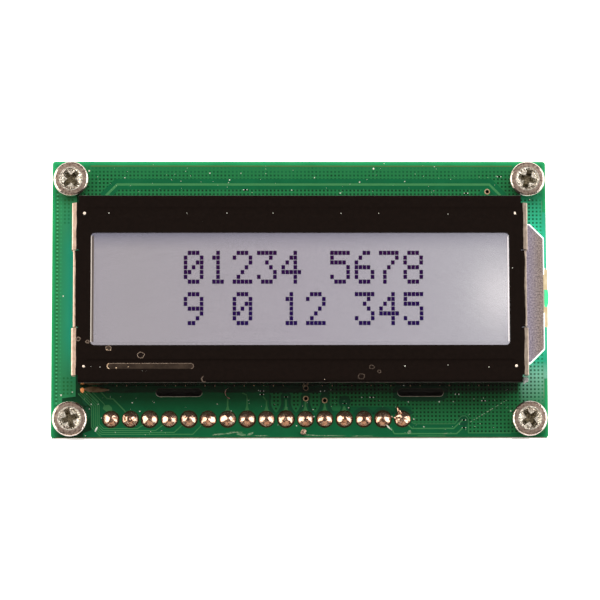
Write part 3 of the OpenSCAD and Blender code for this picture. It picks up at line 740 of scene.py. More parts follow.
def slotRow(x, y, half, radius, steps=9):  # points round an oblong
    right = [(x + half + radius * math.cos(a), y + radius * math.sin(a))
             for a in (math.radians(-90 + 180 * k / steps) for k in range(steps + 1))]
    left = [(x - half + radius * math.cos(a), y + radius * math.sin(a))
            for a in (math.radians(90 + 180 * k / steps) for k in range(steps + 1))]
    return right + left


copperSetup = {
    "topRows": (-27.52, 13.65), "edgeIn": 0.47,
    "slotX": 15.8, "slotY": -12.3, "slotHalf": 2.5, "slotRadius": 0.55,
    "islands": (-3.12, -0.52, 2.02, 4.56),
}


def nearHole(x, y):
    s = copperSetup
    inSlot = abs(abs(x) - s["slotX"]) < s["slotHalf"] + 0.6 and abs(y - s["slotY"]) < s["slotRadius"] + 0.25
    inHole = math.hypot(abs(x) - holeX, abs(y) - holeY) < 1.7
    return inSlot or inHole


def layFrontCopper():
    s = copperSetup
    net = FlatSheet(layer("copper"))
    left, low = s["topRows"]
    limitX, limitY = boardHigh.x / mm - s["edgeIn"], boardHigh.y / mm - s["edgeIn"]
    hatchInto(net, left, low, 119, 8, lambda x, y: y > limitY or x > limitX or nearHole(x, y))
    hatchInto(net, left - 1.5, low, 3, 8, lambda x, y: y > limitY or nearHole(x, y))
    hatchInto(net, 29.05, -11.15, 6, 49, nearHole)
    net.outline([(29.05, 13.36), (32.04, 13.36), (32.04, 13.64), (29.05, 13.64)])
    hatchInto(net, 14.55, -17.65, 35, 13, lambda x, y: x > limitX or nearHole(x, y))
    hatchInto(net, 3.55, -14.15, 22, 6, nearHole)
    net.outline([(3.9, -14.16), (4.2, -14.98), (5.2, -14.98), (5.4, -14.16)])
    net.place("copper_net", maskFinishes["copper"], "solder_mask", 0.01)
    # down the left side the copper runs solid, with two rows of openings that the edge's light fills
    land = FlatSheet(layer("copper"))
    land.outline([(-32.05, -13.9), (-31.05, -13.9), (-31.05, -13.0), (-29.3, -12.8), (-29.3, 13.65),
                  (left - 1.5, 13.65), (left - 1.5, 14.1), (-32.05, 14.1)])
    land.place("side_land", maskFinishes["sideLand"], "solder_mask", 0.01)
    for name, x, finish in (("edge_windows", -31.82, "window"), ("inner_windows", -31.34, "dimWindow")):
        shades, windows = FlatSheet(layer("bare")), FlatSheet(layer("track"))
        for k in range(56):
            y = -13.65 + 0.5 * k
            windows.outline(octagon(x, y, 0.2, 0.22, 0.06))
            if name == "edge_windows":
                shades.outline(octagon(x, y + 0.25, 0.34, 0.24, 0.05))
        if name == "edge_windows":  # and plain openings at the strip's two ends
            for x in (-30.85, -30.35, -29.85):
                for y in [-12.4 + 0.5 * k for k in range(5)] + [10.1 + 0.5 * k for k in range(7)]:
                    shades.outline(octagon(x, y, 0.26, 0.26, 0.05))
        windows.place(name, maskFinishes[finish])
        if shades.points:
            shades.place("edge_shades", maskFinishes["shade"])


def layFrontBare():
    # wide bare laminate, and the gaps that keep the tracks and pads clear of the copper net
    s = copperSetup
    wide = FlatSheet(layer("bare"))
    edge = boardLow.y / mm + 0.02
    wide.outline([(-28.3, edge), (-28.3, -17.6), (-27.2, -17.2), (-27.2, edge)])
    wide.pierced([(-27.2, edge), (-27.2, -11.2), (-4.0, -11.2), (-4.0, -14.7), (14.6, -14.7), (14.6, -16.05),
                  (15.0, -16.35), (20.2, -16.35), (20.95, -15.5), (21.2, -15.3), (21.7, -15.3), (22.1, -15.7),
                  (22.1, -17.62), (32.0, -17.62), (32.0, edge)],
                 slotRow(-s["slotX"], s["slotY"], s["slotHalf"], s["slotRadius"]))
    wide.outline([(6.6, -14.72), (14.6, -14.72), (14.6, -14.15), (6.6, -14.15)])
    wide.track([(-26.05, 13.75), (-24.15, 15.65), (25.25, 15.65), (27.15, 13.75)], 0.58)
    wide.track([(-24.85, 13.75), (-23.8, 14.8), (24.9, 14.8), (25.95, 13.75)], 0.48)
    wide.outline([(23.5, 13.85), (24.15, 14.55), (24.9, 14.55), (25.6, 13.85)])
    wide.place("bare_laminate", maskFinishes["bare"], "solder_mask", 0.006)
    gaps = FlatSheet(layer("bare") + 0.007 * mm)
    half = [(0.84, -12.36), (0.6, -12.75), (0.67, -13.25), (0.68, -13.7), (0.55, -14.15), (0.35, -14.55),
            (0.08, -14.92)]
    last = s["islands"][3]
    gaps.outline([(-4.0, -14.98), (last - 0.15, -14.98)] + [(last - x, y) for x, y in reversed(half)]
                 + [(last - 0.8, -11.15), (-4.0, -11.15)])
    arc = [(5.86 + 0.8 * math.cos(a), -13.5 + 0.8 * math.sin(a))
           for a in (math.radians(235 - 29 * k) for k in range(11))]
    gaps.outline([(6.62, -14.98), (6.36, -14.32)] + arc[::-1] + [(5.36, -14.32), (5.1, -14.98)])
    for i in (13, 14, 15):
        gaps.ring(padX[i], rowY, 1.1, 1.55, 24, math.radians(25), math.radians(130))
    gaps.ring(21.45, -15.95, 0.3, 0.74)
    outer = slotRow(s["slotX"], s["slotY"], s["slotHalf"], 1.12)
    inner = slotRow(s["slotX"], s["slotY"], s["slotHalf"], s["slotRadius"] + 0.03)
    gaps.strip(outer + outer[:1], inner + inner[:1])
    for x, y in ((-27.95, -13.2), (-27.75, -14.9)):
        gaps.outline(octagon(x, y, 0.9, 1.6, 0.35))
    gaps.place("mask_gaps", maskFinishes["gap"])
    islands, beds = FlatSheet(layer("track")), FlatSheet(layer("bare") + 0.011 * mm)
    for middle in s["islands"][:3]:
        islands.outline([(middle - x, y) for x, y in half] + [(middle + x, y) for x, y in reversed(half)])
    for x, top in ((-4.36, -12.6), (-1.82, -12.7), (0.75, -12.9), (3.26, -13.1), (5.84, -13.5)):
        beds.outline([(x - 0.62, -14.98), (x - 0.3, -14.2), (x - 0.3, top), (x - 0.2, top + 0.25),
                      (x + 0.2, top + 0.25), (x + 0.3, top), (x + 0.3, -14.2), (x + 0.62, -14.98)])
    islands.place("copper_islands", maskFinishes["copper"])
    beds.place("track_beds", maskFinishes["bare"], "solder_mask", 0.003)
    holes = FlatSheet(layer("opening"))
    for middle in s["islands"][:3]:
        for row in range(5):
            for side in (-0.24, 0.24):
                if row < 4 or side < 0:
                    x = middle + (side if row < 4 else 0)
                    holes.outline(octagon(x, -12.4 - 0.5 * row, 0.25, 0.25, 0.04))
    holes.place("mask_openings", nodeFinishes["circuit_board"], "solder_mask", 0.003)


bundleSetup = {"inner": -26.22, "pitch": 0.25, "low": -17.0, "turn": 0.62, "bend": -13.75, "width": 0.11}


def layFrontTracks():
    tracks = FlatSheet(layer("track") + 0.007 * mm)
    tracks.track([(-25.45, 13.75), (-24.0, 15.2), (25.08, 15.2), (26.53, 13.75)], 0.3)
    s = bundleSetup
    for k in range(5):
        x, y = s["inner"] - s["pitch"] * k, s["low"] - s["pitch"] * k
        turn = s["turn"] + 0.146 * k
        bend = s["bend"] - 0.104 * k
        path = [(x - 1.75, bend + 1.75), (x, bend), (x, y + turn), (x + turn, y)]
        if k < 4:
            pad = padX[2 + k]
            path += [(pad - 1.65 - 0.12 * k, y), (pad - 0.75, -16.45)]
            tracks.outline([(pad - 0.62, -16.35), (pad - 0.28, -16.78), (pad - 0.95, -16.62)])
        tracks.track(path, s["width"])
    tracks.track([(-27.9, -11.9), (-26.3, -13.5)], 0.11)
    tracks.track([(-27.35, -12.0), (-25.6, -13.75), (-25.4, -14.1)], 0.11)
    tracks.track([(-26.3, -11.9), (-25.2, -13.05), (-24.4, -13.12), (-22.95, -14.6), (-22.6, -15.1)], 0.17)
    tracks.outline([(-25.75, -14.4), (-25.6, -13.95), (-24.95, -13.88), (-24.55, -14.25), (-24.5, -14.9),
                    (-25.1, -14.9)])
    for i, top in ((6, -13.1), (7, -12.9), (8, -13.3), (9, -13.2), (10, -13.5), (11, -13.75), (12, -14.1)):
        x = padX[i]
        tracks.outline([(x - 0.5, -14.95), (x + 0.5, -14.95), (x + 0.22, -14.5), (x + 0.1, -14.05),
                        (x + 0.1, top), (x - 0.1, top), (x - 0.1, -14.05), (x - 0.22, -14.5)])
    tracks.track([(padX[7], -13.0), (padX[7] - 0.1, -12.6), (padX[7] - 0.6, -12.35)], 0.16)
    tracks.track([(padX[8], -13.4), (padX[8] - 0.45, -12.8)], 0.16)
    tracks.track([(14.0, -16.4), (14.65, -17.02), (20.1, -17.02), (20.75, -16.4), (21.25, -15.95)], 0.17)
    tracks.track([(11.9, -16.9), (12.35, -17.7), (20.5, -17.7), (21.3, -16.95)], 0.16)
    tracks.track([(14.6, -16.2), (15.0, -16.42), (20.25, -16.42), (20.98, -15.58), (21.22, -15.38),
                  (21.68, -15.38), (22.02, -15.75), (22.02, -17.62), (27.6, -17.62)], 0.09)
    tracks.track([(15.4, -18.0), (19.0, -18.0)], 0.08)
    tracks.place("copper_tracks", maskFinishes["track"])
    edges = FlatSheet(layer("track"))
    edges.track([(-27.5, 17.66), (28.1, 17.66)], 0.11)
    edges.track([(31.98, 13.0), (31.98, 8.6)], 0.1)
    edges.track([(31.98, -8.0), (31.98, -13.0)], 0.1)
    edges.place("copper_edges", maskFinishes["olive"])
    border = FlatSheet(layer("track"))
    border.outline([(32.0, -10.5), (32.47, -10.5), (32.47, 11.5), (32.0, 11.5)])
    border.place("lit_border", maskFinishes["litBorder"])
    # painted shade: a dark line along the lower edge, for the board's cut side lying in shade
    edgeShade = FlatSheet(layer("track"))
    edgeShade.track([(-31.9, boardLow.y / mm + 0.05), (31.9, boardLow.y / mm + 0.05)], 0.09)
    routed = plainMoulded("glass-epoxy cut side, painted shade", "453c24", "6a6446", (0.6, 0.8), 0.8)
    edgeShade.place("edge_shade_line", routed, "solder_mask", 0.003)


viaSetup = {
    "open": ((0.78, -13.1), (3.25, -13.35), (24.8, 14.25), (0.78, -11.72)),
    "tented": ((-4.97, -12.1), (-4.97, -12.55), (-1.82, -12.87), (5.86, -13.75), (21.45, -15.93),
               (21.45, -16.93), (-7.12, 14.5), (22.0, 14.05), (9.4, -12.95), (20.6, -12.55),
               (24.05, -13.4), (26.4, 16.25)),
}


backSetup = {
    "net": (-32.0, -10.0, 14, 44), "land": (1.3, 2.4),
    "trackWidth": 0.16, "busCount": 11, "busPitch": 0.5, "busLow": -1.6,
    "fanCount": 22, "fanTop": 9.6, "fanPitch": 1.0,
}


def layBack():
    # the unseen side, as such boards are made: copper net at the ends, tracks from the pins to the two
    # covered chips and on to the contact rows, all under mask
    s = backSetup
    below = boardLow.z / mm

    def sheet(depth):
        return FlatSheet((below - depth) * mm)

    field = sheet(0.008)
    x, y = boardHigh.x / mm - 0.03, boardHigh.y / mm - 0.03
    field.pierced([(-x, -y), (x, -y), (x, y), (-x, y)],
                  *[slotRow(side * copperSetup["slotX"], copperSetup["slotY"], copperSetup["slotHalf"],
                            copperSetup["slotRadius"] + 0.02) for side in (-1, 1)])
    field.place("back_laminate", maskFinishes["bare"])
    net = sheet(0.016)
    left, low, columns, rows = s["net"]
    hatchInto(net, left, low, columns, rows)
    hatchInto(net, -left - columns * hatchSetup["pitch"], low, columns, rows)
    net.place("back_net", maskFinishes["copper"], "solder_mask", 0.006)
    tracks, vias, holes = sheet(0.026), sheet(0.034), sheet(0.038)
    for index, x in enumerate(padX):
        side = -1 if index < 8 else 1
        place = index if index < 8 else 15 - index
        goal = side * (17.0 - place * 1.3)
        turn = -9.2 + 0.5 * (place if abs(goal) > abs(x) else 7 - place)
        drop = abs(goal - x)
        if turn + drop > -5.0:  # too far for one slope: a level run between two short ones
            lane, cut = -13.9 + 0.42 * place, math.copysign(0.3, goal - x)
            tracks.track([(x, -14.4), (x, lane - 0.3), (x + cut, lane), (goal - cut, lane), (goal, lane + 0.3),
                          (goal, -5.0)], s["trackWidth"])
        else:
            tracks.track([(x, -14.4), (x, turn), (goal, turn + drop), (goal, -5.0)], s["trackWidth"])
    for k in range(s["busCount"]):
        y = s["busLow"] + k * s["busPitch"]
        tracks.track([(-6.6, y), (-4.8, y), (-4.2, y + 0.6), (4.2, y + 0.6), (4.8, y), (6.6, y)],
                     s["trackWidth"])
    for k in range(s["fanCount"]):
        off = k - (s["fanCount"] - 1) / 2
        for side in (-1, 1):
            start, end = side * (12.5 + off * 0.46), side * (13.4 + off * s["fanPitch"])
            rise = 6.6 + 0.1 * abs(off)
            top = s["fanTop"] + 0.5 * (k % 2)
            slope = min(abs(end - start), top - rise - 0.3)
            tracks.track([(start, 6.4), (start, rise), (end, rise + slope), (end, top)], 0.12)
            vias.ring(end, top, 0.13, 0.28, 12)
            holes.disc(end, top, 0.14, 8)
    tracks.place("back_tracks", maskFinishes["track"], "solder_mask", 0.005)
    for sideX in (-1, 1):
        for sideY in (-1, 1):
            vias.ring(sideX * holeX, sideY * holeY, *s["land"], 40)
    for node in ("chip_capacitors", "chip_resistors"):
        low, high = (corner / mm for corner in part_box(node))
        for x in (low.x + 0.4, high.x - 0.4):
            for y in (low.y, high.y):
                vias.outline(octagon(x, y, 1.3, 0.8, 0.1))
    vias.place("back_lands", tinnedCopper(), "solder", 0.008)
    holes.place("back_holes", darkHole(), "black_plastic", 0.004)


def tinnedCopper():
    # Hot-air levelled tin over copper: creamy bright metal, a little uneven
    return plainMoulded("tinned copper, hot-air levelled", "b89a78", "e2cba8", (0.3, 0.45), 0.3, 0.006, 0.4)


def darkHole():
    # Drilled glass-epoxy with its copper barrel: a nearly black disc, painted shade for the hole's unlit depth
    return plainMoulded("drilled hole, painted shade of its depth", "000000", "040202", (0.9, 1.0), 0.3, ior=1.1)


def layVias():
    rings, holes, dots = FlatSheet(layer("metal")), FlatSheet(layer("metal") + 0.002 * mm), []
    for x, y in viaSetup["open"]:
        rings.ring(x, y, 0.24, 0.37, 20)
        holes.disc(x, y, 0.245, 16)
    for x, y in viaSetup["tented"]:
        holes.disc(x, y, 0.14, 12)
        dots += [(x - 0.22, y, 0.16), (x + 0.22, y, 0.16)]
    rings.place("via_rings", tinnedCopper(), "solder", 0.01)
    holes.place("via_holes", darkHole(), "black_plastic", 0.004)
    # raised lips of the tented vias, pale and glowing: painted highlights where the side lights catch them
    lips = [(x, y, boardTop / mm, size) for x, y, size in dots]
    placePiece("via_lip_highlights", grainMesh("via_lip_highlights", lips, 5, 0.1, 0.5), dustGlintFinish)


def dustGlintMaterial():
    # Lint and skin dust that settled: dry, white to straw coloured
    material, tree, shader, place = startMaterial("dust, settled, with painted glint", "f0ece4", 0.9)
    cloudy(tree, shader, place, 1.4, "cfd2bc", "fbfff8")
    shine(shader, "f0fff4", 0.22)  # painted glint: the specks glow a little, as their glints would
    return material


def grainMesh(name, grains, seed, rough=0.35, flat=0.6):
    # small lumps; each grain is x, y, z and size in millimetres
    draw = random.Random(seed)
    work = bmesh.new()
    for x, y, z, size in grains:
        made = bmesh.ops.create_icosphere(work, subdivisions=1 if size < 0.5 else 3, radius=0.5)["verts"]
        stretch = Vector((draw.uniform(0.8, 1.2), draw.uniform(0.8, 1.2), flat)) * size
        shift = Vector((x, y, z))
        for vertex in made:
            wobble = 1 + rough * noise.noise(vertex.co * 2.2 + shift)
            vertex.co = (Vector(a * b for a, b in zip(vertex.co, stretch)) * wobble + shift) * mm
    return closeMesh(name, work, False)


def tube(name, points, radii, sides=10):
    # a tapered thread through points in millimetres, closed at both ends
    work, rows = bmesh.new(), []
    for i, here in enumerate(points):
        before, after = Vector(points[max(i - 1, 0)]), Vector(points[min(i + 1, len(points) - 1)])
        along = (after - before).normalized()
        side = along.orthogonal().normalized()
        other = along.cross(side)
        rows.append([work.verts.new((Vector(here) + (side * math.cos(a) + other * math.sin(a)) * radii[i]) * mm)
                     for a in (k * math.tau / sides for k in range(sides))])
    joinRows(work, rows)
    work.faces.new(rows[0][::-1])
    work.faces.new(rows[-1])
    bmesh.ops.recalc_face_normals(work, faces=work.faces)
    return closeMesh(name, work)


dustGlintFinish = dustGlintMaterial()
layFrontCopper()
layFrontBare()
layFrontTracks()
layVias()
layBack()
print("the board's copper is laid on both sides")


domeSetup = {
    "radius": 1.06, "deep": 0.96, "height": 0.7, "foot": 0.05, "curve": 1.75, "rings": 14, "sides": 36,
    "seed": 11, "wobble": (0.03, 0.09), "uneven": {1: 0.17, 15: 0.15, 6: 0.12},  # the least even joints
}


def domePoint(index, ring, side, lean, wobble):
    s = domeSetup
    out = 1 - ring / s["rings"]
    turn = side / s["sides"] * math.tau
    spot = Vector((math.cos(turn) * out, math.sin(turn) * out, index * 7.3))
    height = s["foot"] + (s["height"] - s["foot"]) * (1 - out ** s["curve"])
    if ring == 0:
        height = 0
    swell = 1 + wobble * 0.5 * noise.noise(spot * 1.7)
    lift = wobble * noise.noise(spot * 2.3 + Vector((4, 1, 0))) * (1 - out ** 3)
    radius = s["radius"] * min(out * 1.02, 1) * swell
    return Vector((radius * math.cos(turn) + lean[0] * (1 - out),
                   s["deep"] * radius * math.sin(turn) + lean[1] * (1 - out), height + lift))


def layDomes():
    # each pin's solder joint: a full dome that drew in as it froze, no two alike
    s = domeSetup
    draw = random.Random(s["seed"])
    work = bmesh.new()
    for index, x in enumerate(padX):
        lean = (draw.uniform(-0.08, 0.08), draw.uniform(-0.06, 0.06))
        wobble = s["uneven"].get(index, draw.uniform(*s["wobble"]))

        def corner(ring, side):
            point = domePoint(index, ring, side, lean, wobble) + Vector((x, rowY, 0))
            return work.verts.new(point * mm + Vector((0, 0, boardTop)))

        rows = [[corner(ring, side) for side in range(s["sides"])] for ring in range(s["rings"])]
        tip = corner(s["rings"], 0)
        joinRows(work, rows)
        for k in range(s["sides"]):
            work.faces.new((rows[-1][k], rows[-1][(k + 1) % s["sides"]], tip))
        work.faces.new(rows[0][::-1])
    piece = placePiece("solder_domes", closeMesh("solder_domes", work), solderAlloy())
    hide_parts("solder_joints")
    top = boardTop / mm
    spike = tube("solder_spike", [(13.1, -15.05, top + 0.3), (12.9, -14.65, top + 0.4),
                                  (12.8, -14.35, top + 0.4), (12.7, -14.1, top + 0.3)], (0.3, 0.18, 0.16, 0.06))
    placePiece("solder_spike", spike, piece.data.materials[0])
    finger = tube("solder_finger", [(12.9, -15.72, top + 0.25), (12.5, -15.62, top + 0.22),
                                    (12.25, -15.6, top + 0.2)], (0.24, 0.15, 0.07))
    placePiece("solder_finger", finger, piece.data.materials[0])
    crumbs = [(0.45, -17.5, top + 0.2, 0.75), (12.02, -15.5, top + 0.1, 0.26)]
    crumb = plainMoulded("solder and rosin crumb, dropped", "24100a", "e8c8b0", (0.2, 0.4), 0.22, 0.02, 0.6)
    placePiece("solder_crumbs", grainMesh("solder_crumbs", crumbs, 4, 0.9, 0.7), crumb)


def layFluxRings():
    # dark rosin that dried round each joint's foot
    rings = FlatSheet(layer("metal") + 0.004 * mm)
    for index, x in enumerate(padX):
        rings.ring(x + 0.02 * math.sin(index * 2.1), rowY - 0.03, 0.9, 1.14 + 0.03 * math.sin(index * 3.7), 32)
    material = plainMoulded("painted warm reflection, glossy amber in a ring", "2a1606", "4e2c10", (0.3, 0.5), 0.6)
    material.node_tree.nodes["Principled BSDF"].inputs["Alpha"].default_value = 0.55
    rings.place("flux_rings", material, "seal_resin", 0.003)


layFluxRings()


def layPins():
    # square wire, cut to length and chamfered at both ends; the joints hide the front ends
    work = bmesh.new()
    half, low, high, nose = 0.32, pinLow.z / mm, boardTop / mm + 0.42, 0.5
    for x in padX:
        rows = []
        for z, wide in ((low, half * 0.45), (low + nose, half), (high - 0.2, half), (high, half * 0.6)):
            rows.append([work.verts.new(Vector((x + a * wide, rowY + b * wide, z)) * mm)
                         for a, b in ((-1, -1), (1, -1), (1, 1), (-1, 1))])
        joinRows(work, rows)
        work.faces.new(rows[0][::-1])
        work.faces.new(rows[-1])
    upright = [e for e in work.edges if abs(e.verts[0].co.z - e.verts[1].co.z) > mm]
    bmesh.ops.bevel(work, geom=upright, offset=0.05 * mm, segments=2, affect="EDGES")
    mesh = closeMesh("square_pins", work, False)
    piece = placePiece("square_pins", mesh, nodeFinishes["header_pins"])
    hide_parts("header_pins")


layDomes()
layPins()
print("the solder joints are domed")


def hideSlots():
    # painted shade: a black sheet on the board's back, so the two slots look dark as the shade under it
    tape = FlatSheet(boardUnder - 0.16 * mm)
    for x in (-copperSetup["slotX"], copperSetup["slotX"]):
        tape.outline(octagon(x, copperSetup["slotY"] - 0.05, 7.4, 2.5, 0.15))
    material = plainMoulded("black sheet, painted shade under the slots", "0a0a0a", "161514", (0.6, 0.8), 0.5, 0.02)
    tape.place("slot_shade_sheets", material, "black_plastic", 0.14)
    rims = FlatSheet(layer("track"))
    for x in (-copperSetup["slotX"], copperSetup["slotX"]):
        rows = [slotRow(x, copperSetup["slotY"], copperSetup["slotHalf"], copperSetup["slotRadius"] + extra)
                for extra in (0.01, -0.06)]
        rims.strip(rows[0] + rows[0][:1], rows[1] + rows[1][:1])
    # the router left a bruised, pale lip of laminate; painted shade darkens its upper side
    lip, tree, shader, place = startMaterial("laminate lip, routed, with painted shade", "6f7a55", 0.6)
    down = addNode(tree, "MapRange", {"From Min": -12.1 * mm, "From Max": -12.8 * mm},
                   {"Value": addNode(tree, "SeparateXYZ", {}, {0: place}).outputs["Y"]})
    mottled = compute(tree, "MULTIPLY", down.outputs["Result"], mottle(tree, place, 0.7, 0.5, 1.0))
    tree.links.new(tinted(tree, mottled, "2c3a22", "e6efdc"), shader.inputs["Base Color"])
    rims.place("slot_lips", lip, "solder_mask", 0.01)


hideSlots()


def layWarmReflection():
    # a glossy amber leaf at the bezel's foot, drawn as a thin film: a painted warm reflection on the glossy
    # mask, with a glowing bead at its tip as a painted glint
    top = boardTop / mm
    work = bmesh.new()
    length, rows, count = 3.35, [], 16
    for i in range(count + 1):
        t = i / count
        half = 0.36 * math.sin(math.pi * t ** 0.75) ** 0.8 + 0.012
        x, y = -28.25 + length * t, -11.83 - 0.1 * t
        swell = 0.16 * math.sin(math.pi * t) ** 0.5 if 0 < i < count else 0
        rows.append([work.verts.new(Vector((x, y + half * side, top + 0.035 + swell * (1 - side * side))) * mm)
                     for side in (-1, -0.6, -0.2, 0.2, 0.6, 1)])
    for low, high in zip(rows, rows[1:]):
        for k in range(5):
            work.faces.new((low[k], high[k], high[k + 1], low[k + 1]))
    bmesh.ops.recalc_face_normals(work, faces=work.faces)
    leaf = closeMesh("amber_leaf_reflection", work)
    material, tree, shader, place = startMaterial("painted warm reflection, glossy amber", "5e4a34", 0.18)
    cloudy(tree, shader, place, 0.7, "6d5a45", "a8906e")
    relief(tree, shader, mottle(tree, place, 0.4, 0, 1), 0.02)
    placePiece("amber_leaf_reflection", leaf, material, 0.03)
    # painted glint: the bead glows warm
    bead, tree, shader, place = startMaterial("painted glint, amber bead", "f09a50", 0.15)
    cloudy(tree, shader, place, 0.3, "e07c30", "ffd0a0")
    shine(shader, "ff9a4c", 0.35)
    placePiece("amber_bead_glint", grainMesh("amber_bead_glint", [(-28.42, -11.98, top + 0.12, 0.52)], 8, 0.5, 0.7), bead)


layWarmReflection()


def layCornerLump():
    # a shaving of the clear guide caught at the bezel's lower right corner
    clear = plainMoulded("clear acrylic shaving, sawn", "8fa3a2", "eef6f4", (0.2, 0.4), 0.25, 0.02)
    lumps = [(29.3, -10.9, boardTop / mm + 3.2, 0.6), (29.1, -11.3, boardTop / mm + 2.9, 0.42)]
    placePiece("guide_shaving", grainMesh("guide_shaving", lumps, 2, 0.7, 0.7), clear)


layCornerLump()


washSetup = {
    # thin flux smears near the lower edge: x, y, length, height, tilt in degrees
    "smears": ((-10.6, -17.75, 1.6, 0.2, 4), (-9.3, -17.62, 1.3, 0.22, 8), (-8.3, -17.5, 1.7, 0.16, 2),
               (-7.6, -17.8, 1.3, 0.34, -6), (-6.5, -17.72, 0.8, 0.3, 20), (-5.0, -17.95, 2.0, 0.12, 0),
               (1.6, -17.9, 2.4, 0.14, -3), (4.2, -17.95, 3.0, 0.12, 0), (8.0, -18.0, 2.6, 0.1, 0),
               (11.75, -16.95, 0.7, 0.2, -50), (14.3, -17.5, 0.5, 0.5, 30), (19.0, -17.7, 0.7, 0.1, 12)),
    "scratch": ((22.2, -16.3), (27.2, -13.3), 14),
}


def layWash():
    film = FlatSheet(layer("metal"))
    for x, y, length, height, tilt in washSetup["smears"]:
        c, n = math.cos(math.radians(tilt)), math.sin(math.radians(tilt))
        loop = []
        for k in range(22):
            a = k / 22 * math.tau
            r = 1 + 0.5 * noise.noise(Vector((x * 3 + math.cos(a) * 1.3, y + math.sin(a) * 1.3, 0)))
            u, v = length / 2 * r * math.cos(a), height / 2 * r * math.sin(a)
            loop.append((x + u * c - v * n, max(y + u * n + v * c, boardLow.y / mm + 0.05)))
        film.outline(loop)
    material, tree, shader, place = startMaterial("thinned flux, wiped and dried", "9cc79a", 0.3)
    cloudy(tree, shader, place, 0.35, "5fae78", "c2dcbc")
    shader.inputs["Alpha"].default_value = 0.4
    film.place("flux_wash", material, "seal_resin", 0.004)
    (x0, y0), (x1, y1), count = washSetup["scratch"]
    draw = random.Random(9)
    nicks = FlatSheet(layer("metal") + 0.006 * mm)
    for k in range(count):
        t = (k + draw.uniform(0.1, 0.6)) / count
        length = draw.uniform(0.12, 0.3) / math.hypot(x1 - x0, y1 - y0)
        nicks.track([(x0 + (x1 - x0) * q, y0 + (y1 - y0) * q + 0.05) for q in (t, t + length)],
                    draw.uniform(0.05, 0.1))
    # bruised mask shows pale green
    nick = plainMoulded("solder mask, scratched", "7fb08a", "b4d2b4", (0.5, 0.7), 0.3)
    # painted shadow: a dark film, deepening towards the bezel's lower edge
    bezelShadow, tree, shader, place = startMaterial("painted shadow below the bezel's lower edge", "081410", 0.5)
    deep = addNode(tree, "MapRange", {"From Min": -12.42 * mm, "From Max": -12.15 * mm, "To Max": 0.3},
                   {"Value": addNode(tree, "SeparateXYZ", {}, {0: place}).outputs["Y"]})
    tree.links.new(compute(tree, "MULTIPLY", deep.outputs["Result"], mottle(tree, place, 1.5, 0.8, 1.1)),
                   shader.inputs["Alpha"])
    shade = FlatSheet(layer("metal") + 0.012 * mm)
    shade.outline([(-26.5, -12.4), (28.6, -12.4), (28.6, -11.1), (-26.5, -11.1)])
    shade.place("bezel_edge_shadow", bezelShadow, "solder_mask", 0.002)
    nicks.place("mask_scratch", nick)


layWash()


dustSetup = {
    "board": ((-31.2, -12.62, 0.26), (-29.72, -12.22, 0.2), (-21.9, -13.62, 0.2), (-20.9, -14.75, 0.24),
              (-25.9, -15.6, 0.15), (-27.5, -14.42, 0.16), (-28.0, -17.92, 0.2), (-27.25, -13.82, 0.2),
              (-26.35, -13.8, 0.14), (-0.45, -16.66, 0.22), (6.38, -14.3, 0.18), (18.25, -13.52, 0.22),
              (20.1, -13.52, 0.14), (27.6, -14.75, 0.2), (8.1, -12.95, 0.16), (14.9, -15.8, 0.24),
              (16.2, -16.8, 0.2), (14.2, -13.55, 0.16), (13.6, -11.4, 0.14), (-9.2, 15.8, 0.26),
              (-9.35, 15.45, 0.14), (7.95, 15.5, 0.3), (13.9, 15.6, 0.2), (9.8, 17.3, 0.3),
              (11.2, 18.0, 0.16), (-1.0, 14.45, 0.2), (5.4, 14.05, 0.2), (-23.0, 16.1, 0.2),
              (-27.7, 17.0, 0.26), (-11.8, 16.7, 0.2), (-7.7, 16.7, 0.14), (2.0, 16.1, 0.16),
              (-31.0, 0.4, 0.22), (24.05, -13.05, 0.14), (-5.0, -14.1, 0.1), (1.85, -15.45, 0.16),
              (2.7, -12.15, 0.14), (3.25, -12.1, 0.12), (1.72, -14.55, 0.16), (-8.98, -14.7, 0.14),
              (30.4, 13.2, 0.2), (-10.8, -13.8, 0.14)),
    "bezel": ((13.49, -9.3, 0.2), (19.04, -9.17, 0.16), (24.34, -9.43, 0.2), (-24.78, 10.63, 0.18),
              (-14.68, 10.63, 0.14), (-9.49, 10.63, 0.14), (-3.53, 10.63, 0.14), (27.51, 3.44, 0.18),
              (5.3, 10.6, 0.12), (10.2, 10.6, 0.14), (19.2, 10.5, 0.14), (-12.6, 9.5, 0.1),
              (-20.4, -9.9, 0.12), (-19.9, -9.95, 0.1), (3.1, -11.0, 0.12), (-27.0, -9.3, 0.1),
              (-25.83, -9.39, 0.12), (-22.0, -7.4, 0.1)),
    "scatter": 150, "seed": 23, "sizes": (0.04, 0.085),
}


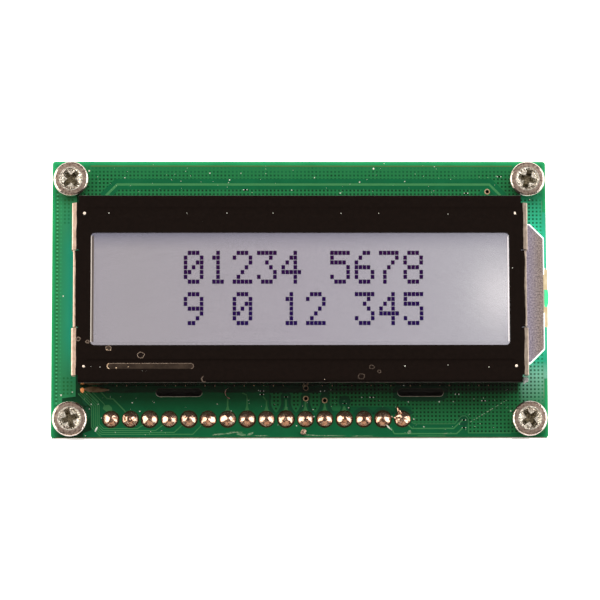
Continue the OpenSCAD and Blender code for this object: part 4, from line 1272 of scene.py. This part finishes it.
def layDust():
    s = dustSetup
    top, face = boardTop / mm, bezelHigh.z / mm
    grains = [(x, y, top + 0.05, size * 0.85) for x, y, size in s["board"]]
    grains += [(x, y, face - 0.02, size * 0.8) for x, y, size in s["bezel"]]
    draw = random.Random(s["seed"])
    for _ in range(s["scatter"]):  # the finest dust, strewn over the board's open strips
        x = draw.uniform(-31.8, 31.8)
        y = draw.choice((draw.uniform(-17.9, -11.8), draw.uniform(14.0, 17.9)))
        if not nearHole(x, y) and math.hypot(abs(x) - holeX, abs(y) - holeY) > 2.4:
            grains.append((x, y, top + 0.04, draw.uniform(*s["sizes"])))
    placePiece("dust_specks", grainMesh("dust_specks", grains, s["seed"]), dustGlintFinish)
    crumbs = [(-25.2 + 1.28 * k, -11.36 - 0.03 * (k % 3), top + 0.04, 0.12 + 0.02 * (k % 4)) for k in range(40)
              if k % 7 != 5]  # painted reflections of the joints' highlights in the bezel's glossy wall
    placePiece("bezel_foot_reflections", grainMesh("bezel_foot_reflections", crumbs, 9, flat=0.3),
               plainMoulded("painted reflections at the bezel's foot", "8a6a4a", "d6b690", (0.5, 0.7), 0.4))
    lint = [("lint_left", [(-26.72, -17.4, top + 0.06), (-26.6, -17.1, top + 0.1),
                           (-26.42, -16.78, top + 0.06)], (0.07, 0.11, 0.06)),
            ("lint_right", [(11.3, -16.5, top + 0.06), (11.6, -16.9, top + 0.08), (12.0, -17.25, top + 0.06)],
             (0.05, 0.1, 0.05))]
    for name, points, radii in lint:
        placePiece(name, tube(name, points, radii), dustGlintFinish)
    hair = plainMoulded("fine hair, fallen", "8a5c50", "c08f80", (0.35, 0.5), 0.3)
    points = [(-9.15, -13.12, top + 0.06), (-9.45, -12.95, top + 0.1), (-9.7, -12.65, top + 0.12),
              (-9.8, -12.3, top + 0.12), (-9.65, -11.95, top + 0.12), (-9.35, -11.7, top + 0.1)]
    placePiece("fallen_hair", tube("fallen_hair", points, (0.05, 0.055, 0.055, 0.05, 0.045, 0.03)), hair)


layDust()
print("dust and flux are down")


stainSetup = {
    # dried drops on the bezel: x, y, radius, how closed the ring is
    "drops": ((-28.68, -5.77, 0.32, 1.0), (-27.45, -6.11, 0.26, 1.0), (-24.76, -6.94, 0.4, 1.0),
              (-20.6, -7.85, 0.48, 1.0), (-12.25, -10.95, 0.5, 0.4), (9.2, -9.42, 0.34, 1.0),
              (7.85, -10.64, 0.45, 1.0), (10.16, -9.99, 0.26, 1.0)),
    # a painted reflection of the lower bead's groove, drawn as a ring with a faint fill
    "beadReflection": (-24.95, -13.75, -9.27, 0.76),  # its left and right end, its middle along Y, its height
    "paleMarks": ((-23.74, -9.5, 0.09), (-22.2, -9.36, 0.06), (-24.95, -7.16, 0.08), (-24.5, -7.2, 0.07)),
}


def layStains():
    # Hard-water drops that dried: thin pale rings of lime; with them a painted bead reflection and painted
    # glints
    face = bezelHigh.z / mm
    material, tree, shader, place = startMaterial("hard-water stain and painted bead reflection", "a08d7c", 0.6)
    cloudy(tree, shader, place, 0.3, "7c6a5c", "c9b7a5")
    faint = addNode(tree, "MapRange", {"From Min": -20 * mm, "From Max": 5 * mm, "To Min": 0.5, "To Max": 0.16},
                    {"Value": addNode(tree, "SeparateXYZ", {}, {0: place}).outputs["X"]})
    tree.links.new(faint.outputs["Result"], shader.inputs["Alpha"])
    film = FlatSheet((face + 0.004) * mm)
    for x, y, radius, closed in stainSetup["drops"]:
        sides, rows = 30, []
        for share in (1.0, 1 - 0.09 / radius):
            row = []
            for k in range(sides + 1):
                a = 2.2 + k * closed * math.tau / sides
                spot = Vector((x + math.cos(a) * 2.2, y + math.sin(a) * 2.2, 0))
                r = radius * share * (1 + 0.3 * noise.noise(spot))
                row.append((x + r * math.cos(a), y + r * 0.84 * math.sin(a)))
            rows.append(row)
        film.strip(*rows)
    # the painted bead reflection
    left, right, y, high = stainSetup["beadReflection"]
    half = high / 2
    run = ((left + right) / 2, y, (right - left) / 2 - half)
    film.strip(slotRow(*run, half), slotRow(*run, half - 0.07))
    film.place("drops_and_bead_reflection", material, "black_sheet", 0.003)
    haze, tree, shader, place = startMaterial("hard-water film and painted bead reflection", "8a7666", 0.5)
    cloudy(tree, shader, place, 0.8, "5f5046", "94806e")
    shader.inputs["Alpha"].default_value = 0.1
    pool = FlatSheet((face + 0.002) * mm)
    pool.outline(slotRow(*run, half - 0.03))
    for x, dropY, radius, closed in stainSetup["drops"][:3]:
        pool.disc(x, dropY, radius * 0.75)
    pool.place("film_and_bead_reflection", haze, "black_sheet", 0.0015)
    # painted glint: a bright arc at the bead reflection's left end, and small pale flecks
    rimLight, tree, shader, place = startMaterial("painted glint and pale flecks", "e8c8a2", 0.5)
    cloudy(tree, shader, place, 0.3, "b08f70", "ffe8c8")
    paleMarks = FlatSheet((face + 0.006) * mm)
    paleMarks.strip(*[[(left + half + r * math.cos(a), y + r * math.sin(a)) for a in
                   (math.radians(105 + 15 * k) for k in range(11))] for r in (half + 0.02, half - 0.1)])
    for x, dropY, size in stainSetup["paleMarks"]:
        paleMarks.disc(x, dropY, size, 8)
    paleMarks.place("glint_and_flecks", rimLight, "black_sheet", 0.002)
    # painted highlights where the curves of the four bead ends catch the light: pale, glowing grains
    worn = plainMoulded("painted glint at a bead end", "e8d8c4", "fff6ea", (0.25, 0.4), 0.2, 0.004, 0.35)
    shine(worn.node_tree.nodes["Principled BSDF"], "fff2e2", 0.35)
    ends = [(x, y, face - 0.02, 0.4) for x in (-27.95, 27.9) for y in (10.62, -9.28)]
    placePiece("bead_end_glints", grainMesh("bead_end_glints", ends, 6, 0.4, 0.25), worn)


layStains()

digitSetup = {
    "firstX": -14.86, "firstY": 5.48, "columnPitch": 0.521, "rowPitch": 0.627,
    "characterPitch": 3.164, "linePitch": 5.39, "dot": (0.47, 0.55),
    "lines": ("01234 5678", "9 0 12 345"),
}
digitRows = {
    "0": ("01110", "10001", "10011", "10101", "11001", "10001", "01110"),
    "1": ("00100", "01100", "00100", "00100", "00100", "00100", "01110"),
    "2": ("01110", "10001", "00001", "00010", "00100", "01000", "11111"),
    "3": ("11111", "00010", "00100", "00010", "00001", "10001", "01110"),
    "4": ("00010", "00110", "01010", "10010", "11111", "00010", "00010"),
    "5": ("11111", "10000", "11110", "00001", "00001", "10001", "01110"),
    "6": ("00110", "01000", "10000", "11110", "10001", "10001", "01110"),
    "7": ("11111", "00001", "00010", "00100", "01000", "01000", "01000"),
    "8": ("01110", "10001", "10001", "01110", "10001", "10001", "01110"),
    "9": ("01110", "10001", "10001", "01111", "00001", "00010", "01100"),
}


def layDigits():
    # Twisted nematic liquid crystal between its electrodes: each driven dot turns dark violet
    s = digitSetup
    # drawn on the film's face, where the film's veil doesn't wash them out
    dots = FlatSheet(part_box("front_polariser")[1].z + 0.003 * mm)
    for line, text in enumerate(s["lines"]):
        for place, digit in enumerate(text):
            for row, bits in enumerate(digitRows.get(digit, ())):
                for column, bit in enumerate(bits):
                    if bit == "1":
                        x = s["firstX"] + place * s["characterPitch"] + column * s["columnPitch"]
                        y = s["firstY"] - line * s["linePitch"] - row * s["rowPitch"]
                        w, h = s["dot"][0] / 2, s["dot"][1] / 2
                        dots.outline([(x - w, y - h), (x + w, y - h), (x + w, y + h), (x - w, y + h)])
    material, tree, shader, place = startMaterial("driven liquid crystal dot", "06010c", 0.5)
    across = addNode(tree, "MapRange", {"From Min": 5 * mm, "From Max": -5 * mm},
                     {"Value": addNode(tree, "SeparateXYZ", {}, {0: place}).outputs["Y"]})
    blend = compute(tree, "ADD", across.outputs["Result"], mottle(tree, place, 3, -0.2, 0.2))
    # painted light: the dots glow faint violet, for the backlight that passes through them
    tree.links.new(tinted(tree, blend, "280538", "1c0748"), shader.inputs["Emission Color"])
    shader.inputs["Emission Strength"].default_value = 1.0
    shader.inputs["Specular IOR Level"].default_value = 0.1
    dots.place("digit_dots", material, "polariser", 0.004)


layDigits()


def litEdge(name, colour, strength):
    material, tree, shader, place = startMaterial(name, colour, 0.4)
    cloud = compute(tree, "MULTIPLY", mottle(tree, place, 0.8, 0, 1), 0.15)
    tree.links.new(tinted(tree, cloud, colour, "ffffff"), shader.inputs["Emission Color"])
    shader.inputs["Emission Strength"].default_value = strength
    return material


lampSetup = {"height": 2.27, "landX": (31.84, 32.36), "landY": ((0.95, 3.6), (-3.95, -1.3))}  # millimetres


def layLamp():
    # the lamp's two cream lands and the light leaking between them, past the tape's edge
    s = lampSetup
    z = boardTop + s["height"] * mm
    lands, leak = FlatSheet(z), FlatSheet(z)
    x0, x1 = s["landX"]
    for y0, y1 in s["landY"]:
        lands.outline([(x0, y0), (x1, y0), (x1, y1), (x0, y1)])
    leak.outline([(31.98, -1.3), (32.3, -1.3), (32.48, -0.8), (32.5, 0.3), (32.4, 0.95), (31.98, 0.95)])
    housing = plainMoulded("lamp housing polyamide, moulded", "e6d09c", "fff6d6", (0.4, 0.5), 1.3)
    lands.place("lamp_lands", housing, "white_plastic", 0.02)
    leak.place("lamp_leak", litEdge("mask lit by the lamp, cured", "38dc92", 0.6),
               "solder_mask", 0.02)


layLamp()


cellEnds = (  # from, to, colour and glow of each lit edge of the cell; millimetres
    ("cell_end_left", -27.15, -27.0, "d8cec4", 0.62), ("cell_gap_left", -27.0, -26.74, "5e534c", 0.22),
    ("cell_end_right", 26.95, 27.05, "f4eeec", 0.8),
)


def layCellEdges():
    # what shows between the front polariser and the bezel's window: more polariser, and the cell's two
    # cut ends, lit from inside
    low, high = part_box("front_polariser")
    z = high.z + 0.004 * mm
    left, right, lower, upper = (v / mm for v in (low.x, high.x, low.y, high.y))
    rim = FlatSheet(z)
    rim.strip([(left, lower), (right, lower), (right, upper), (left, upper), (left, lower)],
              [(left - 0.5, lower - 0.4), (right + 0.4, lower - 0.4), (right + 0.4, upper + 0.4),
               (left - 0.5, upper + 0.4), (left - 0.5, lower - 0.4)])
    rim.place("polariser_rim", nodeFinishes["front_polariser"], "polariser", 0.002)
    for name, x0, x1, colour, strength in cellEnds:
        line = FlatSheet(z + 0.006 * mm)
        line.outline([(x0, lower + 0.1), (x1, lower - 0.05), (x1, upper - 0.1), (x0, upper - 0.35)])
        line.place(name, litEdge("cut glass edge, lit from inside", colour, strength), "glass", 0.002)


layCellEdges()
print("the digits are in")
